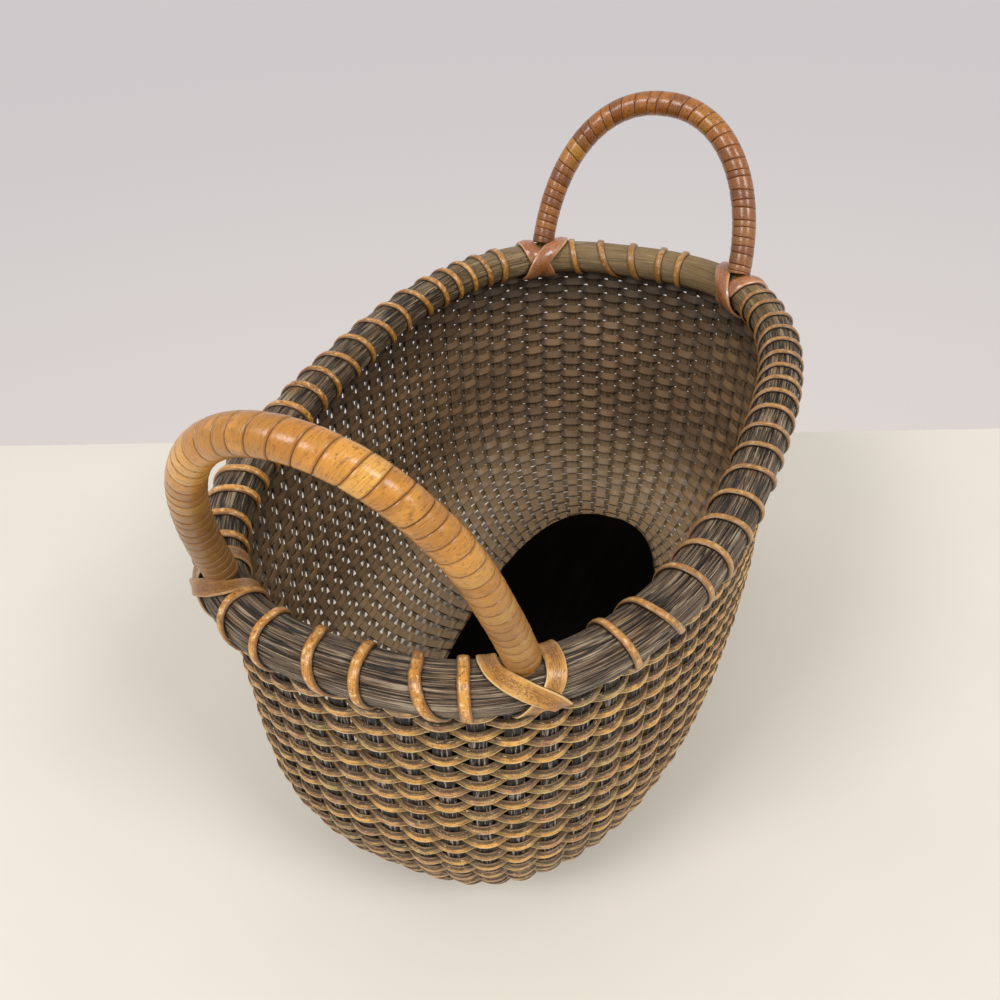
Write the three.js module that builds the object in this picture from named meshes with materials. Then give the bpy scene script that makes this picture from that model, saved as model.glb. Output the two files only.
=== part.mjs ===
// Oval cane basket: a grooved wooden plate, stakes between two skins of weavers, a two-hoop rim lashed
// with cane, and two wrapped end handles whose pared ends go down into the rim.
// Millimetres, +Z up, X along the basket, the plate's underside at z = 0.
// A place round the basket is given as u, counted in stakes from the middle of the far end (+X)
// towards the +Y side: stake number k stands at u = k, and the gap after it is at u = k + 1/2.
import * as THREE from 'three';

// Rim plan, on the middle of its thickness.
const RIM_HALF_LENGTH = 140;
const RIM_HALF_WIDTH = 86;
const RIM_ROUNDNESS = 2.6;
const FAR_END_WIDER_SHARE = 0.025;

// Base plate, which sits a little towards the far end and the right side (-Y).
const PLATE_HALF_LENGTH = 99;
const PLATE_HALF_WIDTH = 41.5;
const PLATE_ROUNDNESS = 2.5;
const PLATE_TOWARDS_FAR_END = 9;
const PLATE_TOWARDS_RIGHT = 3;
const PLATE_THICKNESS = 9;
const PLATE_BEVEL = 1;
const PLATE_GROOVE_DEPTH = 4;

// Wall: stakes with a skin of weavers on each side of them.
const STAKE_COUNT = 73;
const STAKE_THICKNESS = 1.3;
const STAKE_GAP_AT_RIM = 4.8;
const STAKE_GAP_AT_PLATE = 2.2;
const WEAVER_THICKNESS = 1.2;
const WEAVE_RELIEF = 1.2;
const RELIEF_STEPS_PER_CORNER_STEP = 2;
const RELIEF_STEPS_ABOVE_CORNER = 4;
const CORNER_HEIGHT = 69;
const CORNER_STEPS = 4;
const CLEARANCE = 0.3;

// Rim: two half-round hoops and a filler strip on the stakes' ends.
const RIM_MIDDLE_HEIGHT = 146;
const HOOP_HEIGHT = 14;
const HOOP_THICKNESS = 6.6;
const HOOP_ARC_STEPS = 4;
const FILLER_HEIGHT = 3.7;

// Lashing of the rim, in four lengths between the handle feet.
const LASH_THICKNESS = 1;
const LASH_BESIDE_STRAP = 2;
const FAR_LASH_BESIDE_STRAP = 10.5;
const LASHINGS = [
  { name: 'far', turns: 5, besideStrap: FAR_LASH_BESIDE_STRAP },
  { name: 'left', turns: 20, besideStrap: LASH_BESIDE_STRAP },
  { name: 'near', turns: 6, besideStrap: LASH_BESIDE_STRAP },
  { name: 'right', turns: 21, besideStrap: LASH_BESIDE_STRAP },
];

// Handles: a pole wound with one strip, a little thicker at the crown than at its feet. Height is measured
// along the slant from the rim's top.
const POLE_RADIUS = 3.6;
const POLE_CROWN_RADIUS = 4.3;
const POLE_STEPS = 22;
const POLE_SIDES = 8;
const HANDLE_SPAN = 98;
const NEAR_HANDLE_HEIGHT = 73;
const NEAR_HANDLE_ROUNDNESS = 2.05;
const NEAR_HANDLE_SLANT_DEGREES = 15;
const NEAR_HANDLE_ASIDE = 0;
const FAR_HANDLE_HEIGHT = 69.5;
const FAR_HANDLE_ROUNDNESS = 2.18;
const FAR_HANDLE_SLANT_DEGREES = 26;
const FAR_HANDLE_ASIDE = -4;
const TONGUE_DEPTH = 11.5;
const WRAP_THICKNESS = 1;
const WRAP_LOOPS = 24;
const WRAP_GAP = 0.9;
const WRAP_ABOVE_RIM = 1;

// Foot bindings: one strap a foot, crossed over the outer hoop.
const STRAP_WIDTH = 3.6;
const STRAP_THICKNESS = 1;
const STRAP_BESIDE_FOOT = 0.7;

// Finishes
const LACQUER = { color: 0x0b0807, roughness: 0.25, metalness: 0 };
const DARK_STAKE = { color: 0x2c2620, roughness: 0.75, metalness: 0 };
const CANE_OUTSIDE = { color: 0xa98455, roughness: 0.6, metalness: 0 };
const CANE_INSIDE = { color: 0x6b5c46, roughness: 0.7, metalness: 0 };
const HOOP_RATTAN = { color: 0x574838, roughness: 0.6, metalness: 0 };
const FILLER_RATTAN = { color: 0x403428, roughness: 0.7, metalness: 0 };
const GOLD_CANE = { color: 0xc78f4b, roughness: 0.5, metalness: 0 };
const NEAR_WRAP = { color: 0xc9924c, roughness: 0.35, metalness: 0 };
const FAR_WRAP = { color: 0x8d5630, roughness: 0.4, metalness: 0 };
const POLE_RATTAN = { color: 0x8a6a42, roughness: 0.6, metalness: 0 };

// Values worked out from the sizes above
const HANDLES = [
  {
    name: 'near',
    side: -1,
    height: NEAR_HANDLE_HEIGHT,
    roundness: NEAR_HANDLE_ROUNDNESS,
    slantDegrees: NEAR_HANDLE_SLANT_DEGREES,
    middleAside: NEAR_HANDLE_ASIDE,
  },
  {
    name: 'far',
    side: 1,
    height: FAR_HANDLE_HEIGHT,
    roundness: FAR_HANDLE_ROUNDNESS,
    slantDegrees: FAR_HANDLE_SLANT_DEGREES,
    middleAside: FAR_HANDLE_ASIDE,
  },
];
const QUARTER = Math.PI / 2;
const HALF_STAKE = STAKE_THICKNESS / 2;
const SKIN_INSIDE = HALF_STAKE + CLEARANCE;
const SKIN_OUTSIDE = SKIN_INSIDE + WEAVER_THICKNESS;
const GROOVE_HEIGHT = PLATE_THICKNESS / 2;
const GROOVE_HALF = HALF_STAKE + CLEARANCE;
const RIM_TOP = RIM_MIDDLE_HEIGHT + HOOP_HEIGHT / 2;
const RIM_FOOT = RIM_MIDDLE_HEIGHT - HOOP_HEIGHT / 2;
const STAKE_TOP = RIM_TOP - FILLER_HEIGHT - CLEARANCE;
const SKIN_TOP = RIM_FOOT - 2 * CLEARANCE - Math.max(LASH_THICKNESS, STRAP_THICKNESS);
const THROUGH_WIDTH = STAKE_GAP_AT_RIM - 2 * CLEARANCE;
const WRAP_OUTSIDE = POLE_RADIUS + CLEARANCE + WRAP_THICKNESS;
const UP = new THREE.Vector3(0, 0, 1);
const DOWN = new THREE.Vector3(0, 0, -1);
const PLATE_MIDDLE = new THREE.Vector3(PLATE_TOWARDS_FAR_END, -PLATE_TOWARDS_RIGHT, 0);

const basket = new THREE.Group();

// Plan ovals

function ovalPoint(angle, halfLength, halfWidth, roundness) {
  const along = Math.abs(Math.cos(angle) / halfLength) ** roundness;
  const across = Math.abs(Math.sin(angle) / halfWidth) ** roundness;
  const reach = (along + across) ** (-1 / roundness);
  return new THREE.Vector3(reach * Math.cos(angle), reach * Math.sin(angle), 0);
}

function rimPlan(angle) {
  const point = ovalPoint(angle, RIM_HALF_LENGTH, RIM_HALF_WIDTH, RIM_ROUNDNESS);
  point.y *= 1 + (FAR_END_WIDER_SHARE * point.x) / RIM_HALF_LENGTH;
  return point;
}

function platePlan(angle) {
  const point = ovalPoint(angle, PLATE_HALF_LENGTH, PLATE_HALF_WIDTH, PLATE_ROUNDNESS);
  return point.add(PLATE_MIDDLE);
}

// Points at equal distances along a fine line of points, from its start to its end.
function evenPoints(fine, count) {
  const lengths = [0];
  for (let i = 1; i < fine.length; i += 1) {
    lengths.push(lengths[i - 1] + fine[i].distanceTo(fine[i - 1]));
  }
  const total = lengths[fine.length - 1];
  const points = [];
  let i = 0;
  for (let k = 0; k <= count; k += 1) {
    const wanted = (total * k) / count;
    while (i < fine.length - 2 && lengths[i + 1] < wanted) i += 1;
    const share = (wanted - lengths[i]) / (lengths[i + 1] - lengths[i]);
    points.push(fine[i].clone().lerp(fine[i + 1], share));
  }
  return { points, total };
}

// Two stations to a stake: one at the stake and one at the gap after it.
function stationsOn(plan) {
  const fine = [];
  const fineSteps = 100 * STAKE_COUNT;
  for (let i = 0; i <= fineSteps; i += 1) fine.push(plan((4 * QUARTER * i) / fineSteps));
  return evenPoints(fine, 2 * STAKE_COUNT).points.slice(0, -1);
}

const rimStations = stationsOn(rimPlan);
const plateStations = stationsOn(platePlan);

function stationAt(stations, u) {
  const count = stations.length;
  return stations[((Math.round(2 * u) % count) + count) % count];
}

// The wall's middle surface bends up in a quarter turn from the plate's groove and then stands upright.

function wallPoint(u, turn) {
  const point = stationAt(plateStations, u).clone().lerp(stationAt(rimStations, u), Math.sin(turn));
  return point.setZ(GROOVE_HEIGHT + CORNER_HEIGHT * (1 - Math.cos(turn)));
}

function wallNormal(u, turn) {
  const along = wallPoint(u + 1 / 2, turn).sub(wallPoint(u - 1 / 2, turn));
  const run = stationAt(rimStations, u).clone().sub(stationAt(plateStations, u));
  const upward = run.multiplyScalar(Math.cos(turn)).setZ(CORNER_HEIGHT * Math.sin(turn));
  return along.cross(upward).normalize();
}

// Middle-surface points and outward directions from the plate's edge to a height, at one place u.
function wallLine(u, topHeight) {
  const line = [];
  for (let level = 0; level <= CORNER_STEPS; level += 1) {
    const turn = (QUARTER * level) / CORNER_STEPS;
    line.push({ point: wallPoint(u, turn), normal: wallNormal(u, turn) });
  }
  line.push({ point: wallPoint(u, QUARTER).setZ(topHeight), normal: wallNormal(u, QUARTER) });
  return line;
}

function plateOutward(u) {
  const along = stationAt(plateStations, u + 1 / 2).clone().sub(stationAt(plateStations, u - 1 / 2));
  return along.cross(UP).normalize();
}

// Rim frame at any place u: the middle point, the outward direction and the direction along the rim.
function rimFrame(u) {
  const before = Math.floor(u - 1 / 2) + 1 / 2;
  const share = u - before;
  const centre = wallPoint(before, QUARTER).lerp(wallPoint(before + 1, QUARTER), share);
  const outward = wallNormal(before, QUARTER).lerp(wallNormal(before + 1, QUARTER), share).normalize();
  return { centre, outward, along: UP.clone().cross(outward) };
}

function rimPoint(u, offset, z) {
  const { centre, outward } = rimFrame(u);
  return centre.addScaledVector(outward, offset).setZ(z);
}

function pitchOf(stations) {
  return stationAt(stations, 1 / 2).distanceTo(stationAt(stations, -1 / 2));
}

const rimPitch = pitchOf(rimStations);
const stakeWidthAtRim = rimPitch - STAKE_GAP_AT_RIM;
const stakeWidthAtPlate = pitchOf(plateStations) - STAKE_GAP_AT_PLATE;

// Solids from rings of points

function signedVolume(points, faces) {
  return faces.reduce((sum, [a, b, c]) => sum + points[a].dot(points[b].clone().cross(points[c])), 0);
}

function geometryFrom(points, faces) {
  const outward = signedVolume(points, faces) > 0;
  const turned = outward ? faces : faces.map(([a, b, c]) => [a, c, b]);
  const geometry = new THREE.BufferGeometry();
  const numbers = points.flatMap((point) => point.toArray());
  geometry.setAttribute('position', new THREE.Float32BufferAttribute(numbers, 3));
  geometry.setIndex(turned.flat());
  return geometry;
}

// A skin over rings of equal length: closed joins the last ring to the first, else the ends get caps.
function skinOver(rings, closed) {
  const size = rings[0].length;
  const faces = [];
  const spans = closed ? rings.length : rings.length - 1;
  for (let r = 0; r < spans; r += 1) {
    const here = r * size;
    const next = ((r + 1) % rings.length) * size;
    for (let k = 0; k < size; k += 1) {
      const j = (k + 1) % size;
      faces.push([here + k, here + j, next + j], [here + k, next + j, next + k]);
    }
  }
  const last = (rings.length - 1) * size;
  for (let k = 1; k < size - 1 && !closed; k += 1) {
    faces.push([0, k + 1, k], [last, last + k, last + k + 1]);
  }
  return geometryFrom(rings.flat(), faces);
}

function addPiece(name, geometry, finish) {
  geometry.computeVertexNormals();
  const mesh = new THREE.Mesh(geometry, new THREE.MeshStandardMaterial(finish));
  mesh.name = name;
  basket.add(mesh);
}

// A strip's section at one stop: at is its middle, up its outer side and across its width direction.
function stripSection({ at, up, across }, width, thickness) {
  return [[-1, -1], [1, -1], [1, 1], [-1, 1]].map(([side, face]) => at.clone()
    .addScaledVector(across, (side * width) / 2)
    .addScaledVector(up, (face * thickness) / 2));
}

// The least distance between ring points of a winding that lie at least half a loop apart.
function reportLeastGap(name, rings, stepsPerLoop) {
  let least = Infinity;
  rings.forEach((ring, i) => {
    for (let j = i + Math.ceil(stepsPerLoop / 2); j < Math.min(rings.length, i + 2 * stepsPerLoop); j += 1) {
      for (const a of ring) for (const b of rings[j]) least = Math.min(least, a.distanceTo(b));
    }
  });
  console.log(`${name}: least gap to itself ${least.toFixed(2)} mm`);
}

// Base plate: an oval disc with a bevelled upper edge and a groove round it for the stakes' feet.
function basePlate() {
  const profile = [
    [0, 0],
    [0, GROOVE_HEIGHT - GROOVE_HALF],
    [-PLATE_GROOVE_DEPTH, GROOVE_HEIGHT - GROOVE_HALF],
    [-PLATE_GROOVE_DEPTH, GROOVE_HEIGHT + GROOVE_HALF],
    [0, GROOVE_HEIGHT + GROOVE_HALF],
    [0, PLATE_THICKNESS - PLATE_BEVEL],
    [-PLATE_BEVEL, PLATE_THICKNESS],
  ];
  const size = profile.length;
  const points = [];
  const faces = [];
  for (let k = 0; k < STAKE_COUNT; k += 1) {
    const edge = stationAt(plateStations, k + 1 / 2);
    const outward = plateOutward(k + 1 / 2);
    for (const [offset, z] of profile) points.push(edge.clone().addScaledVector(outward, offset).setZ(z));
  }
  const bottom = points.push(PLATE_MIDDLE.clone()) - 1;
  const top = points.push(PLATE_MIDDLE.clone().setZ(PLATE_THICKNESS)) - 1;
  for (let k = 0; k < STAKE_COUNT; k += 1) {
    const here = k * size;
    const next = ((k + 1) % STAKE_COUNT) * size;
    for (let i = 0; i < size - 1; i += 1) {
      faces.push([here + i, next + i, next + i + 1], [here + i, next + i + 1, here + i + 1]);
    }
    faces.push([bottom, next, here], [top, here + size - 1, next + size - 1]);
  }
  return geometryFrom(points, faces);
}

// One stake: a flat splint on the middle of its facet, with its foot in the plate's groove.
function stakeRings(k) {
  const before = wallLine(k - 1 / 2, STAKE_TOP);
  const after = wallLine(k + 1 / 2, STAKE_TOP);
  const stops = before.map((low, i) => {
    const high = after[i];
    return {
      at: low.point.clone().lerp(high.point, 1 / 2),
      across: high.point.clone().sub(low.point).normalize(),
      up: low.normal.clone().add(high.normal).normalize(),
      width: stakeWidthAtPlate + ((stakeWidthAtRim - stakeWidthAtPlate) * i) / (before.length - 1),
    };
  });
  const footInset = CLEARANCE - PLATE_GROOVE_DEPTH;
  stops.unshift({ ...stops[0], at: stops[0].at.clone().addScaledVector(plateOutward(k), footInset) });
  return stops.map((stop) => stripSection(stop, stop.width, STAKE_THICKNESS));
}

// A run of neighbouring stakes as one comb, whose feet are joined side by side in the groove. A stake's
// points are its rings' corners, four to a ring, and its corners 1 and 2 face the next stake's 0 and 3.
function stakeGroup(first, last) {
  const points = [];
  const faces = [];
  const addQuad = (a, b, c, d) => faces.push([a, b, c], [a, c, d]);
  for (let k = first; k <= last; k += 1) {
    const rings = stakeRings(k);
    const start = points.length;
    const end = start + 4 * (rings.length - 1);
    points.push(...rings.flat());
    for (let here = start; here < end; here += 4) {
      for (let i = 0; i < 4; i += 1) {
        const openSide = (i === 1 && k < last) || (i === 3 && k > first);
        const j = (i + 1) % 4;
        if (here > start || !openSide) addQuad(here + i, here + j, here + 4 + j, here + 4 + i);
      }
    }
    addQuad(start + 3, start + 2, start + 1, start);
    addQuad(end, end + 1, end + 2, end + 3);
    if (k > first) {
      const before = start - 4 * rings.length;
      const theirs = [before + 1, before + 2, before + 6, before + 5];
      const ours = [start, start + 3, start + 7, start + 4];
      theirs.forEach((corner, i) => {
        const j = (i + 1) % 4;
        addQuad(corner, theirs[j], ours[j], ours[i]);
      });
    }
  }
  return geometryFrom(points, faces);
}

// The wall's line with further stops between its corners, where groups of weavers stand out by turns.
function reliefLine(line) {
  const fine = [];
  line.slice(1).forEach((high, i) => {
    const low = line[i];
    const steps = i < CORNER_STEPS ? RELIEF_STEPS_PER_CORNER_STEP : RELIEF_STEPS_ABOVE_CORNER;
    for (let step = 0; step < steps; step += 1) {
      const share = step / steps;
      fine.push({
        point: low.point.clone().lerp(high.point, share),
        normal: low.normal.clone().lerp(high.normal, share).normalize(),
      });
    }
  });
  return [...fine, line[line.length - 1]];
}

// One skin of weavers, between two distances from the wall's middle surface. With relief, its far side
// stands out at every second stop of every second ring, and between them on the rings beside.
function weaverSkin(nearOffset, farOffset, relief) {
  const rings = [];
  for (let k = 0; k < STAKE_COUNT; k += 1) {
    const line = wallLine(k + 1 / 2, SKIN_TOP);
    line[0].point.addScaledVector(plateOutward(k + 1 / 2), CLEARANCE);
    const farLine = relief > 0 ? reliefLine(line) : line;
    const near = line.map(({ point, normal }) => point.clone().addScaledVector(normal, nearOffset));
    const far = farLine.map(({ point, normal }, i) => {
      const atEnd = i === 0 || i === farLine.length - 1;
      const raised = atEnd || (i + k) % 2 === 0 ? 0 : relief;
      return point.clone().addScaledVector(normal, farOffset + raised);
    });
    rings.push([...near, ...far.reverse()]);
  }
  return skinOver(rings, true);
}

// A hoop, half-round with its flat face against the stakes' ends. side is 1 outside and -1 inside.
function hoop(side) {
  const section = [];
  for (let i = 0; i <= HOOP_ARC_STEPS; i += 1) {
    const turn = (2 * QUARTER * i) / HOOP_ARC_STEPS - QUARTER;
    section.push([SKIN_INSIDE + HOOP_THICKNESS * Math.cos(turn), (HOOP_HEIGHT / 2) * Math.sin(turn)]);
  }
  const rings = [];
  for (let k = 0; k < STAKE_COUNT; k += 1) {
    rings.push(section.map(([offset, rise]) => rimPoint(k + 1 / 2, side * offset, RIM_MIDDLE_HEIGHT + rise)));
  }
  return skinOver(rings, true);
}

// The filler lies on the stakes' ends, from the tongue of one handle foot to the next.
function filler(from, to) {
  const stop = (THROUGH_WIDTH / 2 + CLEARANCE) / rimPitch;
  const places = [from + stop];
  for (let u = from + 1; u < to; u += 1) places.push(u);
  places.push(to - stop);
  const rings = places.map((u) => {
    const at = rimPoint(u, 0, RIM_TOP - FILLER_HEIGHT / 2);
    return stripSection({ at, up: UP, across: rimFrame(u).outward }, STAKE_THICKNESS, FILLER_HEIGHT);
  });
  return skinOver(rings, false);
}

// A stop on a strip's way round the rim's section: turn is 0 on top, a quarter turn outside, minus inside.
function rimStop(u, turn, lift) {
  const { outward, along } = rimFrame(u);
  const rise = HOOP_HEIGHT / 2 + lift;
  const reach = HOOP_THICKNESS + lift;
  const flat = SKIN_INSIDE * Math.sign(turn);
  const topLift = turn === 0 ? (SKIN_INSIDE * rise) / reach / 2 : 0;
  const at = rimPoint(u, flat + reach * Math.sin(turn), RIM_MIDDLE_HEIGHT + rise * Math.cos(turn) + topLift);
  const up = outward.multiplyScalar(Math.sin(turn) * rise).addScaledVector(UP, Math.cos(turn) * reach);
  return { at, up: up.normalize(), across: along };
}

// A stop where a strip crosses under the rim, through the gap between two stakes.
function crossingStop(u, side, lift) {
  const at = rimPoint(u, side * (SKIN_OUTSIDE + CLEARANCE), RIM_FOOT - lift);
  return { at, up: DOWN, across: rimFrame(u).along };
}

// A lashing: one strip wound round both hoops. Its tops are evenly spaced and its crossings are in gaps.
function lashing(name, from, to, turns) {
  const lift = CLEARANCE + LASH_THICKNESS / 2;
  const tops = Array.from({ length: turns }, (_, i) => from + ((to - from) * i) / (turns - 1));
  const crossings = tops.slice(1).map((top, i) => Math.floor((top + tops[i]) / 2) + 1 / 2);
  const stops = [];
  tops.forEach((top, i) => {
    const inside = i > 0 ? crossings[i - 1] : top;
    const outside = i < turns - 1 ? crossings[i] : top;
    if (i > 0) stops.push(crossingStop(inside, -1, lift));
    for (const eighth of [-3, -2, -1, 0, 1, 2, 3]) {
      const side = eighth < 0 ? inside : outside;
      stops.push(rimStop(top + ((side - top) * Math.abs(eighth)) / 4, (eighth * QUARTER) / 2, lift));
    }
    if (i < turns - 1) stops.push(crossingStop(outside, 1, lift));
  });
  const rings = stops.map((stop) => stripSection(stop, THROUGH_WIDTH, LASH_THICKNESS));
  reportLeastGap(name, rings, 9);
  return skinOver(rings, false);
}

// The gap nearest to a distance aside of the middle, at the near or the far end.
function footGap(side, aside) {
  let best = 1 / 2;
  for (let u = 1 / 2; u < STAKE_COUNT; u += 1) {
    const here = stationAt(rimStations, u);
    const there = stationAt(rimStations, best);
    const closer = Math.abs(here.y - aside) < Math.abs(there.y - aside);
    if (here.x * side > 0 && (closer || there.x * side < 0)) best = u;
  }
  return best;
}

// A handle's line: an arch from foot to foot in a plane that slants outward from the rim's top.
function handleLine({ side, height, roundness, slantDegrees, feet }) {
  const slant = THREE.MathUtils.degToRad(slantDegrees);
  const rise = new THREE.Vector3(side * Math.sin(slant), 0, Math.cos(slant));
  const [left, right] = feet.map((u) => rimPoint(u, 0, RIM_TOP));
  const middle = left.clone().lerp(right, 1 / 2);
  const halfSpan = left.clone().sub(middle);
  const fine = [];
  const fineSteps = 100 * POLE_STEPS;
  for (let i = 0; i <= fineSteps; i += 1) {
    const turn = (2 * QUARTER * i) / fineSteps;
    const across = Math.sign(Math.cos(turn)) * Math.abs(Math.cos(turn)) ** (2 / roundness);
    const up = height * Math.abs(Math.sin(turn)) ** (2 / roundness);
    fine.push(middle.clone().addScaledVector(halfSpan, across).addScaledVector(rise, up));
  }
  const { points, total } = evenPoints(fine, fineSteps);
  const flat = halfSpan.clone().cross(rise).normalize();
  // The frame a distance along the line: middle point, sideways in the arch's plane, and out of that plane.
  const frameAt = (distance) => {
    const place = THREE.MathUtils.clamp((distance / total) * fineSteps, 1, fineSteps - 1);
    const low = Math.min(Math.floor(place), fineSteps - 2);
    const centre = points[low].clone().lerp(points[low + 1], place - low);
    const along = points[low + 1].clone().sub(points[low - 1 < 0 ? 0 : low - 1]).normalize();
    return { centre, sideways: flat.clone().cross(along), flat };
  };
  return { frameAt, total, slant };
}

// The pole swells smoothly from either foot to the crown; share is 0 at one foot and 1 at the other.
function poleRadius(share) {
  return POLE_RADIUS + (POLE_CROWN_RADIUS - POLE_RADIUS) * Math.sin(2 * QUARTER * share) ** 2;
}

// The distance from the rim's top at which a round piece of this radius clears the hoops.
function footClearance(radius, slant) {
  return (CLEARANCE + radius * Math.sin(slant)) / Math.cos(slant);
}

// The pole: round between its feet, and pared at both ends to a tongue between the hoops and two stakes.
function handlePole(handle) {
  const { frameAt, total, slant } = handleLine(handle);
  const start = footClearance(POLE_RADIUS, slant);
  const circle = Array.from({ length: POLE_SIDES }, (_, i) => (4 * QUARTER * i) / POLE_SIDES);
  const rings = [];
  for (let i = 0; i <= POLE_STEPS; i += 1) {
    const distance = start + ((total - 2 * start) * i) / POLE_STEPS;
    const { centre, sideways, flat } = frameAt(distance);
    const radius = poleRadius(distance / total);
    rings.push(circle.map((angle) => centre.clone()
      .addScaledVector(sideways, radius * Math.cos(angle))
      .addScaledVector(flat, radius * Math.sin(angle))));
  }
  const tongueRing = (u, z, frame) => {
    const { along, outward } = rimFrame(u);
    const alongSign = Math.sign(along.dot(frame.sideways));
    const outwardSign = Math.sign(outward.dot(frame.flat));
    return circle.map((angle) => rimPoint(u, (outwardSign * STAKE_THICKNESS * Math.sin(angle)) / 2, z)
      .addScaledVector(along, (alongSign * THROUGH_WIDTH * Math.cos(angle)) / 2));
  };
  const heights = [RIM_TOP - TONGUE_DEPTH, RIM_TOP + CLEARANCE];
  const [left, right] = handle.feet;
  rings.unshift(...heights.map((z) => tongueRing(left, z, frameAt(0))));
  rings.push(...heights.toReversed().map((z) => tongueRing(right, z, frameAt(total))));
  return skinOver(rings, false);
}

// The winding: one strip round the pole from foot to foot, its edges following the bend.
function handleWrap(name, handle) {
  const { frameAt, total, slant } = handleLine(handle);
  const start = footClearance(WRAP_OUTSIDE, slant) + WRAP_ABOVE_RIM;
  const pitch = (total - 2 * start) / (WRAP_LOOPS + 1);
  const width = pitch - WRAP_GAP;
  const steps = WRAP_LOOPS * POLE_SIDES;
  const rings = [];
  for (let i = 0; i <= steps; i += 1) {
    const angle = (4 * QUARTER * i) / POLE_SIDES;
    const middle = start + pitch / 2 + (pitch * i) / POLE_SIDES;
    const edge = (shift, lift) => {
      const { centre, sideways, flat } = frameAt(middle + shift);
      const radius = poleRadius(middle / total) + lift;
      return centre.clone()
        .addScaledVector(sideways, radius * Math.cos(angle))
        .addScaledVector(flat, radius * Math.sin(angle));
    };
    const high = CLEARANCE + WRAP_THICKNESS;
    rings.push([
      edge(-width / 2, CLEARANCE), edge(width / 2, CLEARANCE),
      edge(width / 2, high), edge(-width / 2, high),
    ]);
  }
  reportLeastGap(name, rings, POLE_SIDES);
  return skinOver(rings, false);
}

// A foot binding: up inside the rim, over beside the foot, down across the outer hoop, under the rim
// and the same again from the other side, its second crossing lying on its first.
function footBinding(u) {
  const lift = CLEARANCE + STRAP_THICKNESS / 2;
  const upperLift = lift + STRAP_THICKNESS + CLEARANCE;
  const beside = (WRAP_OUTSIDE + STRAP_BESIDE_FOOT + STRAP_WIDTH / 2) / rimPitch;
  const pass = (side, crossLift) => [
    crossingStop(u + side, -1, lift),
    rimStop(u + side, (-3 * QUARTER) / 2, lift),
    rimStop(u + (side * (1 + beside)) / 2, -QUARTER, lift),
    rimStop(u + side * beside, -QUARTER / 2, lift),
    rimStop(u + side * beside, 0, lift),
    rimStop(u + (side * beside) / 2, QUARTER / 2, crossLift),
    rimStop(u, QUARTER, crossLift),
    rimStop(u - side / 2, (3 * QUARTER) / 2, crossLift),
    crossingStop(u - side, 1, crossLift === lift ? lift : upperLift),
  ];
  const stops = [...pass(-1, lift), ...pass(1, upperLift)];
  return skinOver(stops.map((stop) => stripSection(stop, STRAP_WIDTH, STRAP_THICKNESS)), false);
}

// Assembly

for (const handle of HANDLES) {
  handle.feet = [1, -1].map((side) => footGap(handle.side, handle.middleAside + (side * HANDLE_SPAN) / 2));
}
const [nearHandle, farHandle] = HANDLES;

addPiece('base_plate', basePlate(), LACQUER);

// The four stretches of rim between handle feet, each from one foot's gap to the next.
const feet = {
  left: [farHandle.feet[0], nearHandle.feet[0]],
  near: [nearHandle.feet[0], nearHandle.feet[1]],
  right: [nearHandle.feet[1], farHandle.feet[1]],
  far: [farHandle.feet[1], farHandle.feet[0] + STAKE_COUNT],
};

for (const [name, [from, to]] of Object.entries(feet)) {
  addPiece(`stakes_${name}`, stakeGroup(from + 1 / 2, to - 1 / 2), DARK_STAKE);
  addPiece(`rim_filler_${name}`, filler(from, to), FILLER_RATTAN);
}
addPiece('weavers_outside', weaverSkin(SKIN_INSIDE, SKIN_OUTSIDE, WEAVE_RELIEF), CANE_OUTSIDE);
addPiece('weavers_inside', weaverSkin(-SKIN_INSIDE, -SKIN_OUTSIDE, 0), CANE_INSIDE);
addPiece('rim_hoop_outer', hoop(1), HOOP_RATTAN);
addPiece('rim_hoop_inner', hoop(-1), HOOP_RATTAN);

for (const { name, turns, besideStrap } of LASHINGS) {
  const inset = 1 + (STRAP_WIDTH / 2 + besideStrap + THROUGH_WIDTH / 2) / rimPitch;
  const node = `rim_lashing_${name}`;
  addPiece(node, lashing(node, feet[name][0] + inset, feet[name][1] - inset, turns), GOLD_CANE);
}

for (const handle of HANDLES) {
  const finish = handle === nearHandle ? NEAR_WRAP : FAR_WRAP;
  const node = `handle_wrap_${handle.name}`;
  addPiece(`handle_pole_${handle.name}`, handlePole(handle), POLE_RATTAN);
  addPiece(node, handleWrap(node, handle), finish);
  handle.feet.forEach((u, i) => {
    addPiece(`foot_binding_${handle.name}_${i === 0 ? 'left' : 'right'}`, footBinding(u), GOLD_CANE);
  });
}

// The origin is under the middle of the whole object's box.
const middle = new THREE.Box3().setFromObject(basket).getCenter(new THREE.Vector3());
basket.position.set(-middle.x, -middle.y, 0);

export default basket;
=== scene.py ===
"""Oval cane basket with two wrapped end handles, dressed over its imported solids. Metres, +Z up.

A place round the basket is u, counted in stakes from the middle of the far end towards +Y: stake k stands at
u = k. A place up the wall is s, the distance along the wall from the base plate's edge.
"""
import math

import bmesh
import bpy
import numpy as np
from mathutils import Matrix, Vector


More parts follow.
